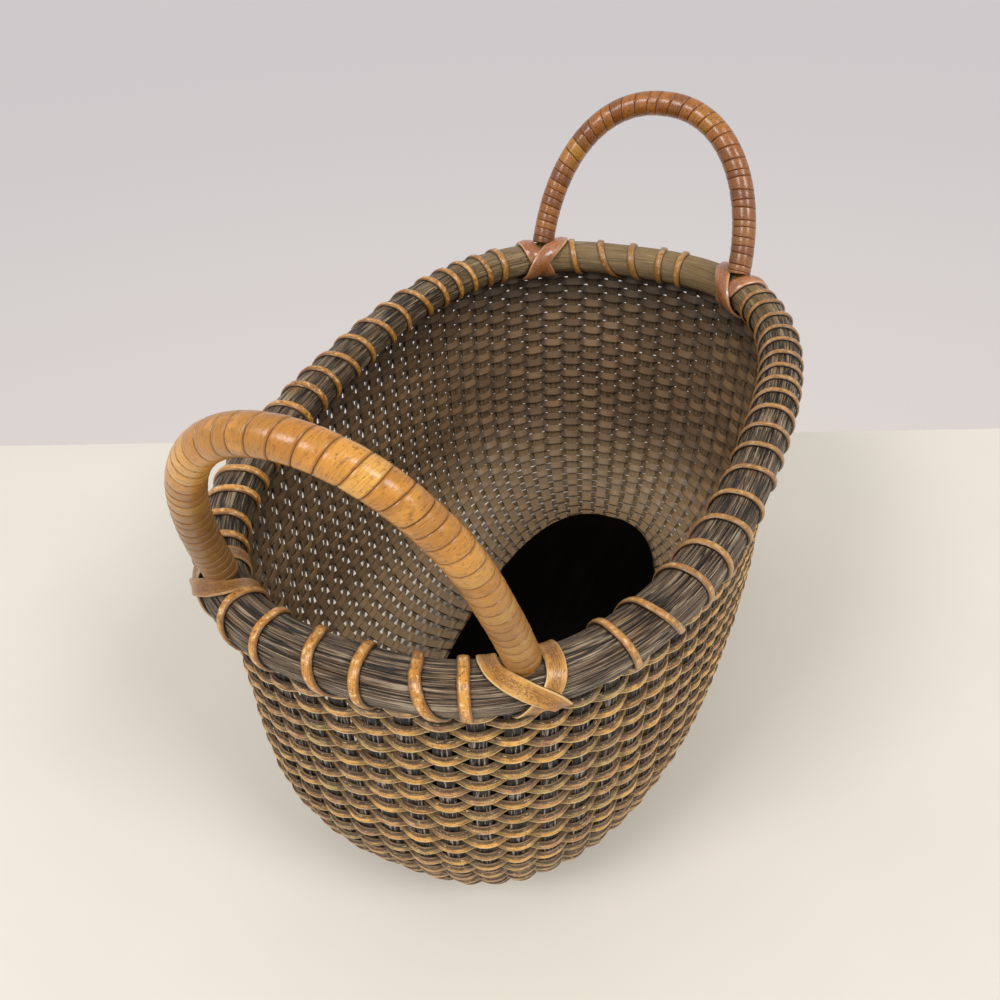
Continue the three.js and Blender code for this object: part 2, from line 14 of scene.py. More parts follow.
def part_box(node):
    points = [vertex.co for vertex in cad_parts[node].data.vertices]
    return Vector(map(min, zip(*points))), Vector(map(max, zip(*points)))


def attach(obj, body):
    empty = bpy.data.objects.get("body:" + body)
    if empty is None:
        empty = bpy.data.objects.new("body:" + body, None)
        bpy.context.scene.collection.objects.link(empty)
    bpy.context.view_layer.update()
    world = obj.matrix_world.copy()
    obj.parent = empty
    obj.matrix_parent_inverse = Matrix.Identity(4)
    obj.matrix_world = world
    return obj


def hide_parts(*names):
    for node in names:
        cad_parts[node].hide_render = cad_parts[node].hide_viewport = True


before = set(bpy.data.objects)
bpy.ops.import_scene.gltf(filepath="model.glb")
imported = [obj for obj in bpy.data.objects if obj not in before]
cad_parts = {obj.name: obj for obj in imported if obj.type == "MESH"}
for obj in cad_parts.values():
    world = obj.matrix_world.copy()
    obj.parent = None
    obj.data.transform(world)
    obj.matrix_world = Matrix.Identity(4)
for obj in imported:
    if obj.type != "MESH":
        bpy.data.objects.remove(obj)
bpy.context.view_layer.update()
MM = 0.001
TAU = 2 * np.pi

# Sizes of the construction, as in the solids
RIM_HALF_LENGTH = 140 * MM
RIM_HALF_WIDTH = 86 * MM
RIM_ROUNDNESS = 2.6
FAR_END_WIDER_SHARE = 0.025
PLATE_HALF_LENGTH = 99 * MM
PLATE_HALF_WIDTH = 41.5 * MM
PLATE_ROUNDNESS = 2.5
PLATE_TOWARDS_FAR_END = 9 * MM
PLATE_TOWARDS_RIGHT = 3 * MM
PLATE_THICKNESS = 9 * MM
GROOVE_HEIGHT = PLATE_THICKNESS / 2
GROOVE_DEPTH = 4 * MM
STAKE_COUNT = 73
STAKE_THICKNESS = 1.3 * MM
STAKE_GAP_AT_RIM = 4.8 * MM
STAKE_GAP_AT_PLATE = 2.2 * MM
STAKE_FAR_WIDENING = 1.6 * MM
CORNER_HEIGHT = 69 * MM
SKIN_INSIDE = 0.95 * MM
RIM_MIDDLE_HEIGHT = 146 * MM
HOOP_HEIGHT = 14 * MM
HOOP_THICKNESS = 6.6 * MM
RIM_TOP = RIM_MIDDLE_HEIGHT + HOOP_HEIGHT / 2
RIM_FOOT = RIM_MIDDLE_HEIGHT - HOOP_HEIGHT / 2
WALL_GAP_UNDER_RIM = 0.2 * MM
WALL_TOP = RIM_FOOT - WALL_GAP_UNDER_RIM
STAKE_DEPTH_IN_RIM = 4 * MM
STAKE_TOP = RIM_TOP - STAKE_DEPTH_IN_RIM
WRAP_THICKNESS = 1 * MM
CLEARANCE = 0.3 * MM
FILLER_SHOWN_HEIGHT = 1.4 * MM
RIM_SEAM_OUTWARD = 2.6 * MM
RIM_SEAM_GAP = 0.3 * MM
PLATE_ROUNDING = 1.2 * MM
PLATE_RING_INWARD = 12 * MM

# Weavers and stakes as they show
WEAVER_ROWS = 41
WEAVER_HEIGHT = 3.05 * MM
WEAVER_FOOT_SHARE = 0.62
WEAVER_FOOT_REACH = 52 * MM
WEAVER_THICKNESS = 1.0 * MM
WEAVER_SWING = 1.6 * MM
WEAVER_LEAN = 0.05
WEAVER_FAR_HEIGHT = 3.6 * MM
WEAVER_FAR_LEAN = -0.25
WEAVER_CREST_POWER = 0.85
WEAVER_FIRST_TURN = 0.1
WEAVER_LAST_TURN = WEAVER_ROWS + 0.9
WEAVER_RINGS_PER_STAKE = 8
ROW_WAVER = 0.1 * MM
SWING_WAVER = 0.12
WIDTH_WAVER = 0.06
SWING_LESS_AT_FAR_END = 0.18
FAR_REACH = 90 * MM
STAKE_RINGS = 34
PATTERN_LENGTH = 4 * MM

# Rim: filler strips, hoops and lashing
FILLER_GAP_AT_FEET = 0.25
FILLER_LIFT = 0.15 * MM
RINGS_PER_STAKE = 6
HOOP_ROUND_LINES = 52
HOOP_RIDGE_HEIGHT = 0.14 * MM
HOOP_SWELL = 0.12 * MM
HOOP_LIP_DEPTHS = (0.5 * MM, 1.5 * MM)
HOOP_BACK_DEPTHS = (2.3 * MM, 5 * MM)
HOOP_BACK_FOOT = 1 * MM
RIM_TOP_EASE = 0.03
LASH_WIDTH = 3.2 * MM
RIGHT_LASH_WIDTH = 2.6 * MM
LASH_THICKNESS = 1 * MM
LASH_GAP = 0.2 * MM
LASH_RINGS_PER_TURN = 28
LASH_EASE = 1.4
LASH_END_TURN = 0.1
LASH_RINGS_LEFT_OFF = 3
LASH_WIDTH_WAVER = 0.09
LASH_PATTERN_PER_TURN = 14

# Foot bindings
STRAP_WIDTH = 5.4 * MM
FAR_STRAP_WIDTH = 7.4 * MM
STRAP_THICKNESS = 1 * MM
FAR_STRAP_THICKNESS = 1.7 * MM
STRAP_GAP = 0.25 * MM
RIGHT_STRAP_SHIFT = 0.2
STRAP_TONE_LENGTH = 6 * MM

# Handles: poles, tongues and windings
ARCH_POINTS = 4001
ARCH_STEP = 0.4 * MM
SWAY_POINTS_PER_ROW = 16
POLE_RINGS = 150
POLE_SIDES = 14
POLE_END_GAP = 1.2 * MM
POLE_PATTERN_PER_RING = 0.4
TONGUE_DEPTHS = np.array([14.0, 9.0, 5.0, 3.0, 0.6]) * MM
TONGUE_BEND_DEPTH = 5 * MM
TONGUE_HALF_WIDTH = 1.5 * MM
TONGUE_HALF_THICKNESS = 0.55 * MM
WRAP_END_GAP = 0.5 * MM
WRAP_SEAM = 0.05 * MM
WRAP_UNDERSIDE = 0.2 * MM
WRAP_RINGS_PER_TURN = 22
WRAP_OVERRUN = 0.42
WRAP_PITCH_WAVER = 0.24
WRAP_PATTERN_PER_TURN = 5
WRAP_PLACES = 3000

# Heights between which the finishes change
# painted shade on the inside of the wall under the rim
SHADED_WALL = (104 * MM, 138 * MM)
# painted light on the inside of the wall low down
PAINTED_LIGHT_FOOT = (60 * MM, 15 * MM)
HANDLE_LEGS = (212 * MM, 172 * MM)

# For the helpers: a step in stakes for directions, straight up, and the pith side's UV for strips' ends
PLAN_STEP = 0.05
UPRIGHT = np.array([0.0, 0.0, 1.0])
CAP_UV = 0.75

# The rim's middle comes from the solids. The handles' feet stand in gaps between stakes
RIM_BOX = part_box("rim_hoop_outer")
RIM_CENTRE = ((RIM_BOX[0][0] + RIM_BOX[1][0]) / 2, (RIM_BOX[0][1] + RIM_BOX[1][1]) / 2)
PLATE_CENTRE = (RIM_CENTRE[0] + PLATE_TOWARDS_FAR_END, RIM_CENTRE[1] - PLATE_TOWARDS_RIGHT)
NEAR_FEET = (31.5, 41.5)
FAR_FEET = (4.5, -5.5)


# Helpers

def unit(vectors):
    """Each vector divided by its own length."""
    return vectors / np.linalg.norm(vectors, axis=-1, keepdims=True)


def blend(a, b, share):
    """a at share 0, b at share 1, in a straight line between."""
    return a + (b - a) * share


def bumps(seed, places, low=-1.0, high=1.0):
    """Smooth seeded noise on a line: random values at whole numbers, joined by half cosine waves."""
    whole = np.floor(places).astype(int)
    share = (1 - np.cos(np.pi * (places - whole))) / 2
    values = np.random.default_rng(seed).uniform(low, high, int(whole.max() - whole.min()) + 2)
    first = whole - whole.min()
    return blend(values[first], values[first + 1], share)


def per_whole(seed, places, low=0.0, high=1.0):
    """One seeded random value for each whole number, the same for all places that round to it."""
    whole = np.rint(places).astype(int)
    values = np.random.default_rng(seed).uniform(low, high, int(whole.max() - whole.min()) + 1)
    return values[whole - whole.min()]


def lengths_along(points):
    """The distance along a row of points to each of them."""
    steps = np.linalg.norm(np.diff(points, axis=0), axis=1)
    return np.concatenate([[0], np.cumsum(steps)])


# The wall's shape

def oval_plan(angle, half_length, half_width, roundness):
    """A superellipse: each point lies where (x / half length) and (y / half width), each to the power of
    the roundness, add up to one, at the given angle from +X."""
    along, across = np.cos(angle), np.sin(angle)
    powers = np.abs(along / half_length) ** roundness + np.abs(across / half_width) ** roundness
    reach = powers ** (-1 / roundness)
    return np.stack([reach * along, reach * across], axis=-1)


def even_plan(plan):
    """A function from u to the plan's point, at even distances along it, with u of 73 for a whole round."""
    angle = np.linspace(0, TAU, STAKE_COUNT * 100 + 1)
    points = plan(angle)
    length = lengths_along(points)
    place = length / length[-1] * STAKE_COUNT

    def at(u):
        wrapped = np.mod(u, STAKE_COUNT)
        return np.stack([np.interp(wrapped, place, points[:, axis]) for axis in (0, 1)], axis=-1)
    return at


def rim_outline(angle):
    """The rim's oval, a little wider towards the far end, centred where the solid rim is."""
    points = oval_plan(angle, RIM_HALF_LENGTH, RIM_HALF_WIDTH, RIM_ROUNDNESS)
    points[:, 1] *= 1 + FAR_END_WIDER_SHARE * points[:, 0] / RIM_HALF_LENGTH
    return points + RIM_CENTRE


def plate_outline(angle):
    """The base plate's oval, which sits a little towards the far end and the right side."""
    return oval_plan(angle, PLATE_HALF_LENGTH, PLATE_HALF_WIDTH, PLATE_ROUNDNESS) + PLATE_CENTRE


rim_at = even_plan(rim_outline)
plate_at = even_plan(plate_outline)


def plan_pitch(at):
    """The distance between neighbouring stakes along a plan, at the middle of the far end."""
    return float(np.linalg.norm(at(np.array(0.5)) - at(np.array(-0.5))))


RIM_PITCH = plan_pitch(rim_at)
STAKE_PLACES = np.arange(STAKE_COUNT)
MEAN_RUN = float(np.mean(np.linalg.norm(rim_at(STAKE_PLACES) - plate_at(STAKE_PLACES), axis=1)))
TURNS = np.linspace(0, np.pi / 2, 400)
CORNER_STEP = np.hypot(MEAN_RUN * np.cos(TURNS), CORNER_HEIGHT * np.sin(TURNS)) * (TURNS[1] - TURNS[0])
CORNER_LENGTHS = np.concatenate([[0], np.cumsum((CORNER_STEP[1:] + CORNER_STEP[:-1]) / 2)])
CORNER_LENGTH = float(CORNER_LENGTHS[-1])
WALL_LENGTH = CORNER_LENGTH + WALL_TOP - GROOVE_HEIGHT - CORNER_HEIGHT


def wall_point(u, s):
    """The wall's middle surface: a quarter of an ellipse from the plate's groove up, then straight up."""
    turn = np.interp(s, CORNER_LENGTHS, TURNS)
    plan = blend(plate_at(u), rim_at(u), np.sin(turn)[..., None])
    straight = np.maximum(s - CORNER_LENGTH, 0)
    height = GROOVE_HEIGHT + CORNER_HEIGHT * (1 - np.cos(turn)) + straight
    return np.concatenate([plan, height[..., None]], axis=-1)


def wall_frame(u, s):
    """Point, direction along the wall, outward direction and direction up the wall, at each u and s."""
    point = wall_point(u, s)
    along = unit(wall_point(u + PLAN_STEP, s) - wall_point(u - PLAN_STEP, s))
    run = rim_at(u) - plate_at(u)
    turn = np.interp(s, CORNER_LENGTHS, TURNS)
    rise = CORNER_HEIGHT * np.sin(turn)
    upward = np.concatenate([run * np.cos(turn)[..., None], rise[..., None]], axis=-1)
    outward = unit(np.cross(along, upward))
    return point, along, outward, np.cross(outward, along)


def rim_frame(u):
    """The rim's middle line at its middle height, and the direction outward from it."""
    zero = np.zeros(np.shape(u) + (1,))
    point = np.concatenate([rim_at(u), zero + RIM_MIDDLE_HEIGHT], axis=-1)
    along = unit(np.concatenate([rim_at(u + PLAN_STEP) - rim_at(u - PLAN_STEP), zero], axis=-1))
    return point, np.cross(along, UPRIGHT)


def far_share(point):
    """0 on the near half and 1 at the far end, as the square of the share of the way there."""
    return np.clip(point[:, 0] / FAR_REACH, 0, 1) ** 2


# Mesh making

def mesh_piece(name, points, quads, quad_uv, triangles, triangle_uv, sharp_degrees, attributes):
    """A mesh object from arrays, with a UV for each corner and a value at each point for each attribute."""
    mesh = bpy.data.meshes.new(name)
    corners = np.concatenate([quads.ravel(), triangles.ravel()]).astype(np.int32)
    totals = np.concatenate([np.full(len(quads), 4), np.full(len(triangles), 3)]).astype(np.int32)
    starts = (np.cumsum(totals) - totals).astype(np.int32)
    mesh.vertices.add(len(points))
    mesh.vertices.foreach_set("co", points.astype(np.float32).ravel())
    mesh.loops.add(len(corners))
    mesh.loops.foreach_set("vertex_index", corners)
    mesh.polygons.add(len(totals))
    mesh.polygons.foreach_set("loop_start", starts)
    mesh.polygons.foreach_set("loop_total", totals)
    mesh.update(calc_edges=True)
    layer = mesh.uv_layers.new(name="UVMap")
    corner_uv = np.concatenate([quad_uv.reshape(-1, 2), triangle_uv.reshape(-1, 2)])
    layer.data.foreach_set("uv", corner_uv.astype(np.float32).ravel())
    for key, values in attributes.items():
        attribute = mesh.attributes.new(key, "FLOAT", "POINT")
        attribute.data.foreach_set("value", np.asarray(values, dtype=np.float32).ravel())
    mesh.shade_smooth()
    mesh.set_sharp_from_angle(angle=math.radians(sharp_degrees))
    piece = bpy.data.objects.new(name, mesh)
    bpy.context.scene.collection.objects.link(piece)
    return piece


def grid_faces(count, size, closed):
    """Quads between rings of points: each ring joins the next, and if closed the last joins the first."""
    here = np.arange(count if closed else count - 1)[:, None] * size
    ahead = (here + size) % (count * size)
    point = np.arange(size)[None, :]
    beside = (point + 1) % size
    return np.stack([here + point, here + beside, ahead + beside, ahead + point], axis=-1).reshape(-1, 4)


def grid_uv(count, size, closed, lengthwise, crosswise):
    """UVs for grid_faces: lengthwise has one value a ring, and crosswise one more than a ring has points."""
    spans = count if closed else count - 1
    shape = (spans, size)
    low = np.broadcast_to(lengthwise[:spans, None], shape)
    high = np.broadcast_to(np.roll(lengthwise, -1)[:spans, None], shape)
    if closed:
        high = np.where(high < low, low + 2 * (lengthwise[1] - lengthwise[0]), high)
    left = np.broadcast_to(crosswise[None, :-1], shape)
    right = np.broadcast_to(crosswise[None, 1:], shape)
    corners = [np.stack(pair, axis=-1) for pair in ((low, left), (low, right), (high, right), (high, left))]
    return np.stack(corners, axis=2).reshape(-1, 4, 2)


def signed_volume(points, faces):
    """Six times the volume between the faces and the origin, positive if the faces point out."""
    first, second, third, last = (points[faces[:, i]] for i in range(4))
    fan = np.cross(second, third) + np.cross(third, last)
    return float(np.einsum("ij,ij->i", first, fan).sum())


def swept_skin(rings, closed, lengthwise, crosswise):
    """Points, quads, their UVs, triangles and their UVs of a closed skin over rings (count, size, 3). An open
    row of rings is closed by a fan of triangles over each end."""
    count, size = rings.shape[:2]
    points = rings.reshape(-1, 3)
    quads = grid_faces(count, size, closed)
    quad_uv = grid_uv(count, size, closed, lengthwise, crosswise)
    triangles = np.zeros((0, 3), dtype=int)
    if not closed:
        point = np.arange(size)
        beside = (point + 1) % size
        last = (count - 1) * size
        first_cap = np.stack([np.full(size, len(points)), beside, point], axis=-1)
        last_cap = np.stack([np.full(size, len(points) + 1), last + point, last + beside], axis=-1)
        triangles = np.concatenate([first_cap, last_cap])
        points = np.concatenate([points, rings[:1].mean(axis=1), rings[-1:].mean(axis=1)])
    if signed_volume(points, quads) < 0:
        quads, quad_uv, triangles = quads[:, ::-1], quad_uv[:, ::-1], triangles[:, ::-1]
    triangle_uv = np.zeros((len(triangles), 3, 2)) + [lengthwise[0], CAP_UV]
    return points, quads, quad_uv, triangles, triangle_uv


def swept_piece(name, skins, closed, lengthwise, crosswise=None, sharp_degrees=40, **attributes):
    """One mesh piece of one or more skins swept over rings of points. skins is (rings, size, 3), or a list of
    such arrays of one shape; an attribute is one value a ring, or a list of such rows, one for each skin."""
    many = skins if isinstance(skins, list) else [skins]
    count, size = many[0].shape[:2]
    crosswise = np.linspace(0, 1, size + 1) if crosswise is None else crosswise
    parts = [swept_skin(rings, closed, lengthwise, crosswise) for rings in many]
    offsets = np.cumsum([0] + [len(part[0]) for part in parts[:-1]])
    points = np.concatenate([part[0] for part in parts])
    quads = np.concatenate([part[1] + start for part, start in zip(parts, offsets)])
    triangles = np.concatenate([part[3] + start for part, start in zip(parts, offsets)])
    spread = {}
    for key, rows in attributes.items():
        rows = rows if isinstance(skins, list) else [rows]
        ends = [] if closed else [0, -1]
        spread[key] = np.concatenate([np.concatenate([np.repeat(row, size), row[ends]]) for row in rows])
    quad_uv = np.concatenate([part[2] for part in parts])
    triangle_uv = np.concatenate([part[4] for part in parts])
    return mesh_piece(name, points, quads, quad_uv, triangles, triangle_uv, sharp_degrees, spread)


def strip_section(width, thickness, dome=0.12, bevel=0.16):
    """The section of a split cane strip: offsets (across, up) of eight points, bevelled and domed on its bark
    side, and crosswise UVs to go with them: 0 to 0.5 over the bark side and 0.5 to 1 over the pith side."""
    half, up = width / 2, thickness / 2
    inner = 1 - bevel
    across = np.array([-1, -inner, 0, inner, 1, 1, 0, -1]) * half
    raised = np.array([0.2, 1, 1 + dome * 2, 1, 0.2, -1, -1, -1]) * up
    crosswise = np.array([0.0, 0.06, 0.25, 0.44, 0.5, 0.6, 0.78, 0.94, 1.0])
    return across, raised, crosswise


def strip_rings(centre, across, up, width, thickness, dome=0.12, bevel=0.16):
    """Rings of a cane strip along a path: the section stands on each point's across and up directions."""
    offsets, raised, crosswise = strip_section(1.0, 1.0, dome, bevel)
    width = np.broadcast_to(np.asarray(width, dtype=float), (len(centre),))
    thickness = np.broadcast_to(np.asarray(thickness, dtype=float), (len(centre),))
    rings = (centre[:, None, :] + across[:, None, :] * (offsets[None, :] * width[:, None])[..., None]
             + up[:, None, :] * (raised[None, :] * thickness[:, None])[..., None])
    return rings, crosswise


def smooth_path(stops, per_span):
    """A Catmull-Rom curve through rows of stops, with the same number of points in each span."""
    padded = np.concatenate([stops[:1] * 2 - stops[1:2], stops, stops[-1:] * 2 - stops[-2:-1]])
    share = np.linspace(0, 1, per_span, endpoint=False)[None, :, None]
    a, b, c, d = padded[:-3, None], padded[1:-2, None], padded[2:-1, None], padded[3:, None]
    curve = 0.5 * (2 * b + (c - a) * share + (2 * a - 5 * b + 4 * c - d) * share ** 2
                   + (3 * b - a - 3 * c + d) * share ** 3)
    return np.concatenate([curve.reshape(-1, stops.shape[1]), stops[-1:]])


# Shader maths

class Value:
    """A shader socket with the usual operators: each one adds a Math node."""

    def __init__(self, nodes, socket):
        self.nodes = nodes
        self.socket = socket

    def math(self, operation, *others):
        return self.nodes.node("ShaderNodeMath", {"operation": operation}, [self, *others])

    def __add__(self, other):
        return self.math("ADD", other)

    def __mul__(self, other):
        return self.math("MULTIPLY", other)

    def __sub__(self, other):
        return self.math("SUBTRACT", other)

    def __rsub__(self, other):
        return self.nodes.node("ShaderNodeMath", {"operation": "SUBTRACT"}, [other, self])

    __radd__ = __add__
    __rmul__ = __mul__

    def absolute(self):
        return self.math("ABSOLUTE")

    def ramp(self, low, high, shape="LINEAR"):
        """0 below low and 1 above high, in the given shape between them."""
        inputs = {"Value": self, "From Min": low, "From Max": high}
        return self.nodes.node("ShaderNodeMapRange", {"interpolation_type": shape}, inputs)

    def between(self, low, high):
        """0 below low and 1 above high, smoothly."""
        return self.ramp(low, high, "SMOOTHSTEP")


class Nodes:
    """A node tree, whose nodes all come from node()."""

    def __init__(self, tree):
        self.tree = tree

    def node(self, kind, settings=None, inputs=None, output=0):
        """One node: its settings, then the values or links of its inputs. Gives the named output."""
        made = self.tree.nodes.new(kind)
        for key, value in (settings or {}).items():
            setattr(made, key, value)
        pairs = inputs.items() if isinstance(inputs, dict) else enumerate(inputs or [])
        for key, value in pairs:
            if isinstance(value, Value):
                self.tree.links.new(value.socket, made.inputs[key])
            elif value is not None:
                made.inputs[key].default_value = value
        return Value(self, made.outputs[output]) if made.outputs else None

    def scaled(self, vector, x, y, z=1.0):
        return self.node("ShaderNodeVectorMath", {"operation": "MULTIPLY"}, [vector, (x, y, z)])

    def noise(self, vector, scale, detail=2.0, roughness=0.5, distortion=0.0):
        inputs = {"Vector": vector, "Scale": scale, "Detail": detail, "Roughness": roughness,
                  "Distortion": distortion}
        return self.node("ShaderNodeTexNoise", None, inputs, "Fac")

    def attribute(self, name):
        return self.node("ShaderNodeAttribute", {"attribute_name": name}, None, "Fac")

    def axis(self, vector, letter):
        return self.node("ShaderNodeSeparateXYZ", None, [vector], letter)

    def mix(self, share, first, second):
        """first where the share is 0, second where it is 1. Text is a colour's six digits."""
        inputs = {0: share, 6: first, 7: second}
        inputs = {key: colour(value) if isinstance(value, str) else value for key, value in inputs.items()}
        return self.node("ShaderNodeMix", {"data_type": "RGBA"}, inputs, 2)

    def over(self, base, *layers):
        """The base with colours laid over it in turn: each layer is a mask and a colour's six digits."""
        for mask, digits in layers:
            base = self.mix(mask, base, digits)
        return base

    def bump(self, height, distance, strength=1.0):
        inputs = {"Height": height, "Distance": distance, "Strength": strength}
        return self.node("ShaderNodeBump", None, inputs, "Normal")


class Finish(Nodes):
    """A procedural material: the shader's own sockets are set by surface()."""

    def __init__(self, name):
        self.material = bpy.data.materials.new(name)
        self.material.use_nodes = True
        super().__init__(self.material.node_tree)
        self.shader = self.tree.nodes["Principled BSDF"]
        self.place = self.node("ShaderNodeTexCoord", output="Object")
        self.uv = self.node("ShaderNodeTexCoord", output="UV")

    def grain(self, lengthwise, crosswise, detail, roughness, distortion=0.0):
        """Noise that follows the strip: so many cells a unit of its UVs lengthwise and crosswise."""
        stretched = self.scaled(self.uv, lengthwise, crosswise)
        return self.noise(stretched, 1.0, detail, roughness, distortion)

    def surface(self, **sockets):
        """The material, with its shader's sockets set to numbers or linked."""
        for key, value in sockets.items():
            socket = self.shader.inputs[key.replace("_", " ").title().replace("Ior", "IOR")]
            if isinstance(value, Value):
                self.tree.links.new(value.socket, socket)
            else:
                socket.default_value = value
        return self.material


def colour(text):
    """A linear colour from six hexadecimal digits of sRGB."""
    parts = [int(text[i:i + 2], 16) / 255 for i in (0, 2, 4)]
    linear = [p / 12.92 if p <= 0.04045 else ((p + 0.055) / 1.055) ** 2.4 for p in parts]
    return (*linear, 1.0)


# Finishes

def weaver_finish():
    """Split cane: golden, olive or pink bark side with fibres, ticks, painted glints and a pale lower margin
    that is partly worn cane and partly painted highlight, a warm taupe pith side, and greyer rows at the top
    and bottom.
    Painted shade darkens the bark side's upper margin and the places where the strip dives between stakes,
    and on the pith side also the rows under the rim and each row's lower margin; painted light brightens the
    pith side low down. Across the strip, the UV is 0 to 0.5 over the bark side from its lower margin."""
    f = Finish("woven_cane")
    across = f.axis(f.uv, "Y")
    height = f.axis(f.place, "Z")
    tone = f.attribute("tone")
    patch = f.attribute("patch")
    crest = f.attribute("crest")
    fibre = f.grain(2.0, 22.0, 4.0, 0.7, 0.3)
    blotch = f.grain(2.6, 5.0, 3.0, 0.65)
    ticks = f.grain(20.0, 7.0, 3.0, 0.7)
    painted_glint = f.grain(6.0, 16.0, 3.0, 0.7)
    olive = tone.between(0.36, 0.4) * tone.between(0.56, 0.52)
    pink = tone.between(0.14, 0.18) * tone.between(0.34, 0.3)
    bark = f.over(
        f.mix(tone, "905c24", "edac4c"),
        (olive * 0.7, "a5935a"),
        (pink * 0.7, "b98260"),
        (patch.between(0.55, 0.95) * 0.8, "b37e55"),
        (patch.between(0.4, 0.05) * 0.6, "8f774a"),
        (height.between(0.05, 0.022) * 0.7, "9a7862"),
        (height.between(0.122, 0.136) * 0.65, "85705c"),
        (blotch.between(0.5, 0.62) * 0.6, "e0b66c"),
        (blotch.between(0.47, 0.36) * 0.7, "5a3a22"),
        (fibre.between(0.52, 0.68) * 0.65, "422b19"),
        (ticks.between(0.55, 0.65) * 0.75, "33231a"),
        # painted shade: the bark side's upper margin darkened, as under the row above
        (across.between(0.33, 0.42) * 0.85, "2c1c0d"),
        # painted shade where the strip dives between stakes
        (crest.between(0.7, 0.25) * 0.6, "3e2b1b"),
        # painted highlight: pale glints on the bark side
        (painted_glint.between(0.57, 0.66) * 0.65, "f3d896"))
    pith = f.over(
        f.mix(tone, "755c43", "9a7b5a"),
        (fibre.between(0.45, 0.75) * 0.45, "453828"),
        # painted shade on the pith side under the rim
        (height.between(*SHADED_WALL) * 0.72, "2c231a"),
        # painted light on the pith side low down
        (height.between(*PAINTED_LIGHT_FOOT) * 0.6, "c0a078"),
        # painted shade where the strip dives between stakes
        (crest.between(0.75, 0.3) * 0.5, "2e2419"),
        # painted shade along each row's lower margin on the pith side
        (across.between(0.88, 0.95) * 0.7, "241b13"))
    base = f.mix(across.between(0.5, 0.54), bark, pith)
    # the pale lower margin: partly worn cane, partly painted highlight
    low_margin = across.between(0.0, 0.02) * across.between(0.135, 0.095)
    base = f.over(base, (low_margin * (blotch.between(0.3, 0.6) * 0.5 + 0.35), "e8ca8c"))
    ridges = f.bump(fibre + ticks * 0.5, 0.2 * MM, 0.8)
    return f.surface(base_color=base, roughness=0.52 - tone * 0.16, normal=ridges)


def stake_finish():
    """Dark oiled splint with bold lengthwise fibres outside, and a lighter, plainer face inside, which has
    painted shade under the rim and painted light low down.
    """
    f = Finish("dark_splint")
    across = f.axis(f.uv, "Y")
    height = f.axis(f.place, "Z")
    fibre = f.grain(0.5, 17.0, 3.0, 0.6)
    outside = f.over(
        f.mix(fibre.between(0.42, 0.54), "0a0706", "2e2621"),
        (fibre.between(0.55, 0.63), "9a8c80"))
    inside = f.over(
        f.mix(fibre.between(0.3, 0.6), "4a3a29", "7e674b"),
        # painted shade on the stakes' inside under the rim
        (height.between(*SHADED_WALL) * 0.72, "241c15"),
        # painted light on the stakes' inside low down
        (height.between(*PAINTED_LIGHT_FOOT) * 0.6, "b89a74"))
    base = f.mix(across.between(0.5, 0.6), outside, inside)
    return f.surface(base_color=base, roughness=0.55, normal=f.bump(fibre, 0.3 * MM, 0.8))


def rattan_finish(name, dark, mid, light, glow):
    """Weathered rattan: dark and light fibres, fine lines and hair lines along the hoop, warm patches, stains
    and long cracks. The light fibres and pale stains are partly weathering and partly painted sheen. Towards
    the far end it gets smoother and yellower."""
    f = Finish(name)
    fibre = f.grain(0.28, 105.0, 4.0, 0.7, 0.2)
    fine = f.grain(1.2, 190.0, 3.0, 0.7)
    patch = f.grain(0.4, 4.0, 2.0, 0.5)
    stain = f.grain(0.55, 9.0, 3.0, 0.6)
    hair = (f.grain(0.22, 70.0, 3.0, 0.6, 0.2) - 0.5).absolute()
    hairs = hair.between(0.035, 0.012)
    crack = (f.grain(0.18, 13.0, 2.0, 0.5, 0.4) - 0.5).absolute()
    far = f.axis(f.place, "X").between(0.05, 0.13)
    split = crack.between(0.034, 0.014) * (1 - far * 0.75)
    base = f.over(
        f.mix(fibre.between(0.34, 0.48), dark, mid),
        # light fibres: partly weathered rattan, partly painted sheen
        (fibre.between(0.52, 0.6) * 0.85, light),
        (fine.between(0.52, 0.62) * 0.65, dark),
        (hairs * 0.8, dark),
        (patch.between(0.58, 0.76) * 0.55, glow),
        (stain.between(0.56, 0.68) * 0.55, dark),
        # pale stains: partly weathering, partly painted sheen
        (stain.between(0.46, 0.34) * 0.55, light),
        (far * 0.74, "94794c"),
        (split * 0.9, "0e0a07"))
    relief = (fibre * 0.5 + fine * 0.4 - hairs * 0.25 - split * 0.8) * (1 - far * 0.6)
    return f.surface(base_color=base, roughness=0.5 - patch * 0.2, normal=f.bump(relief, 0.7 * MM, 1.0))


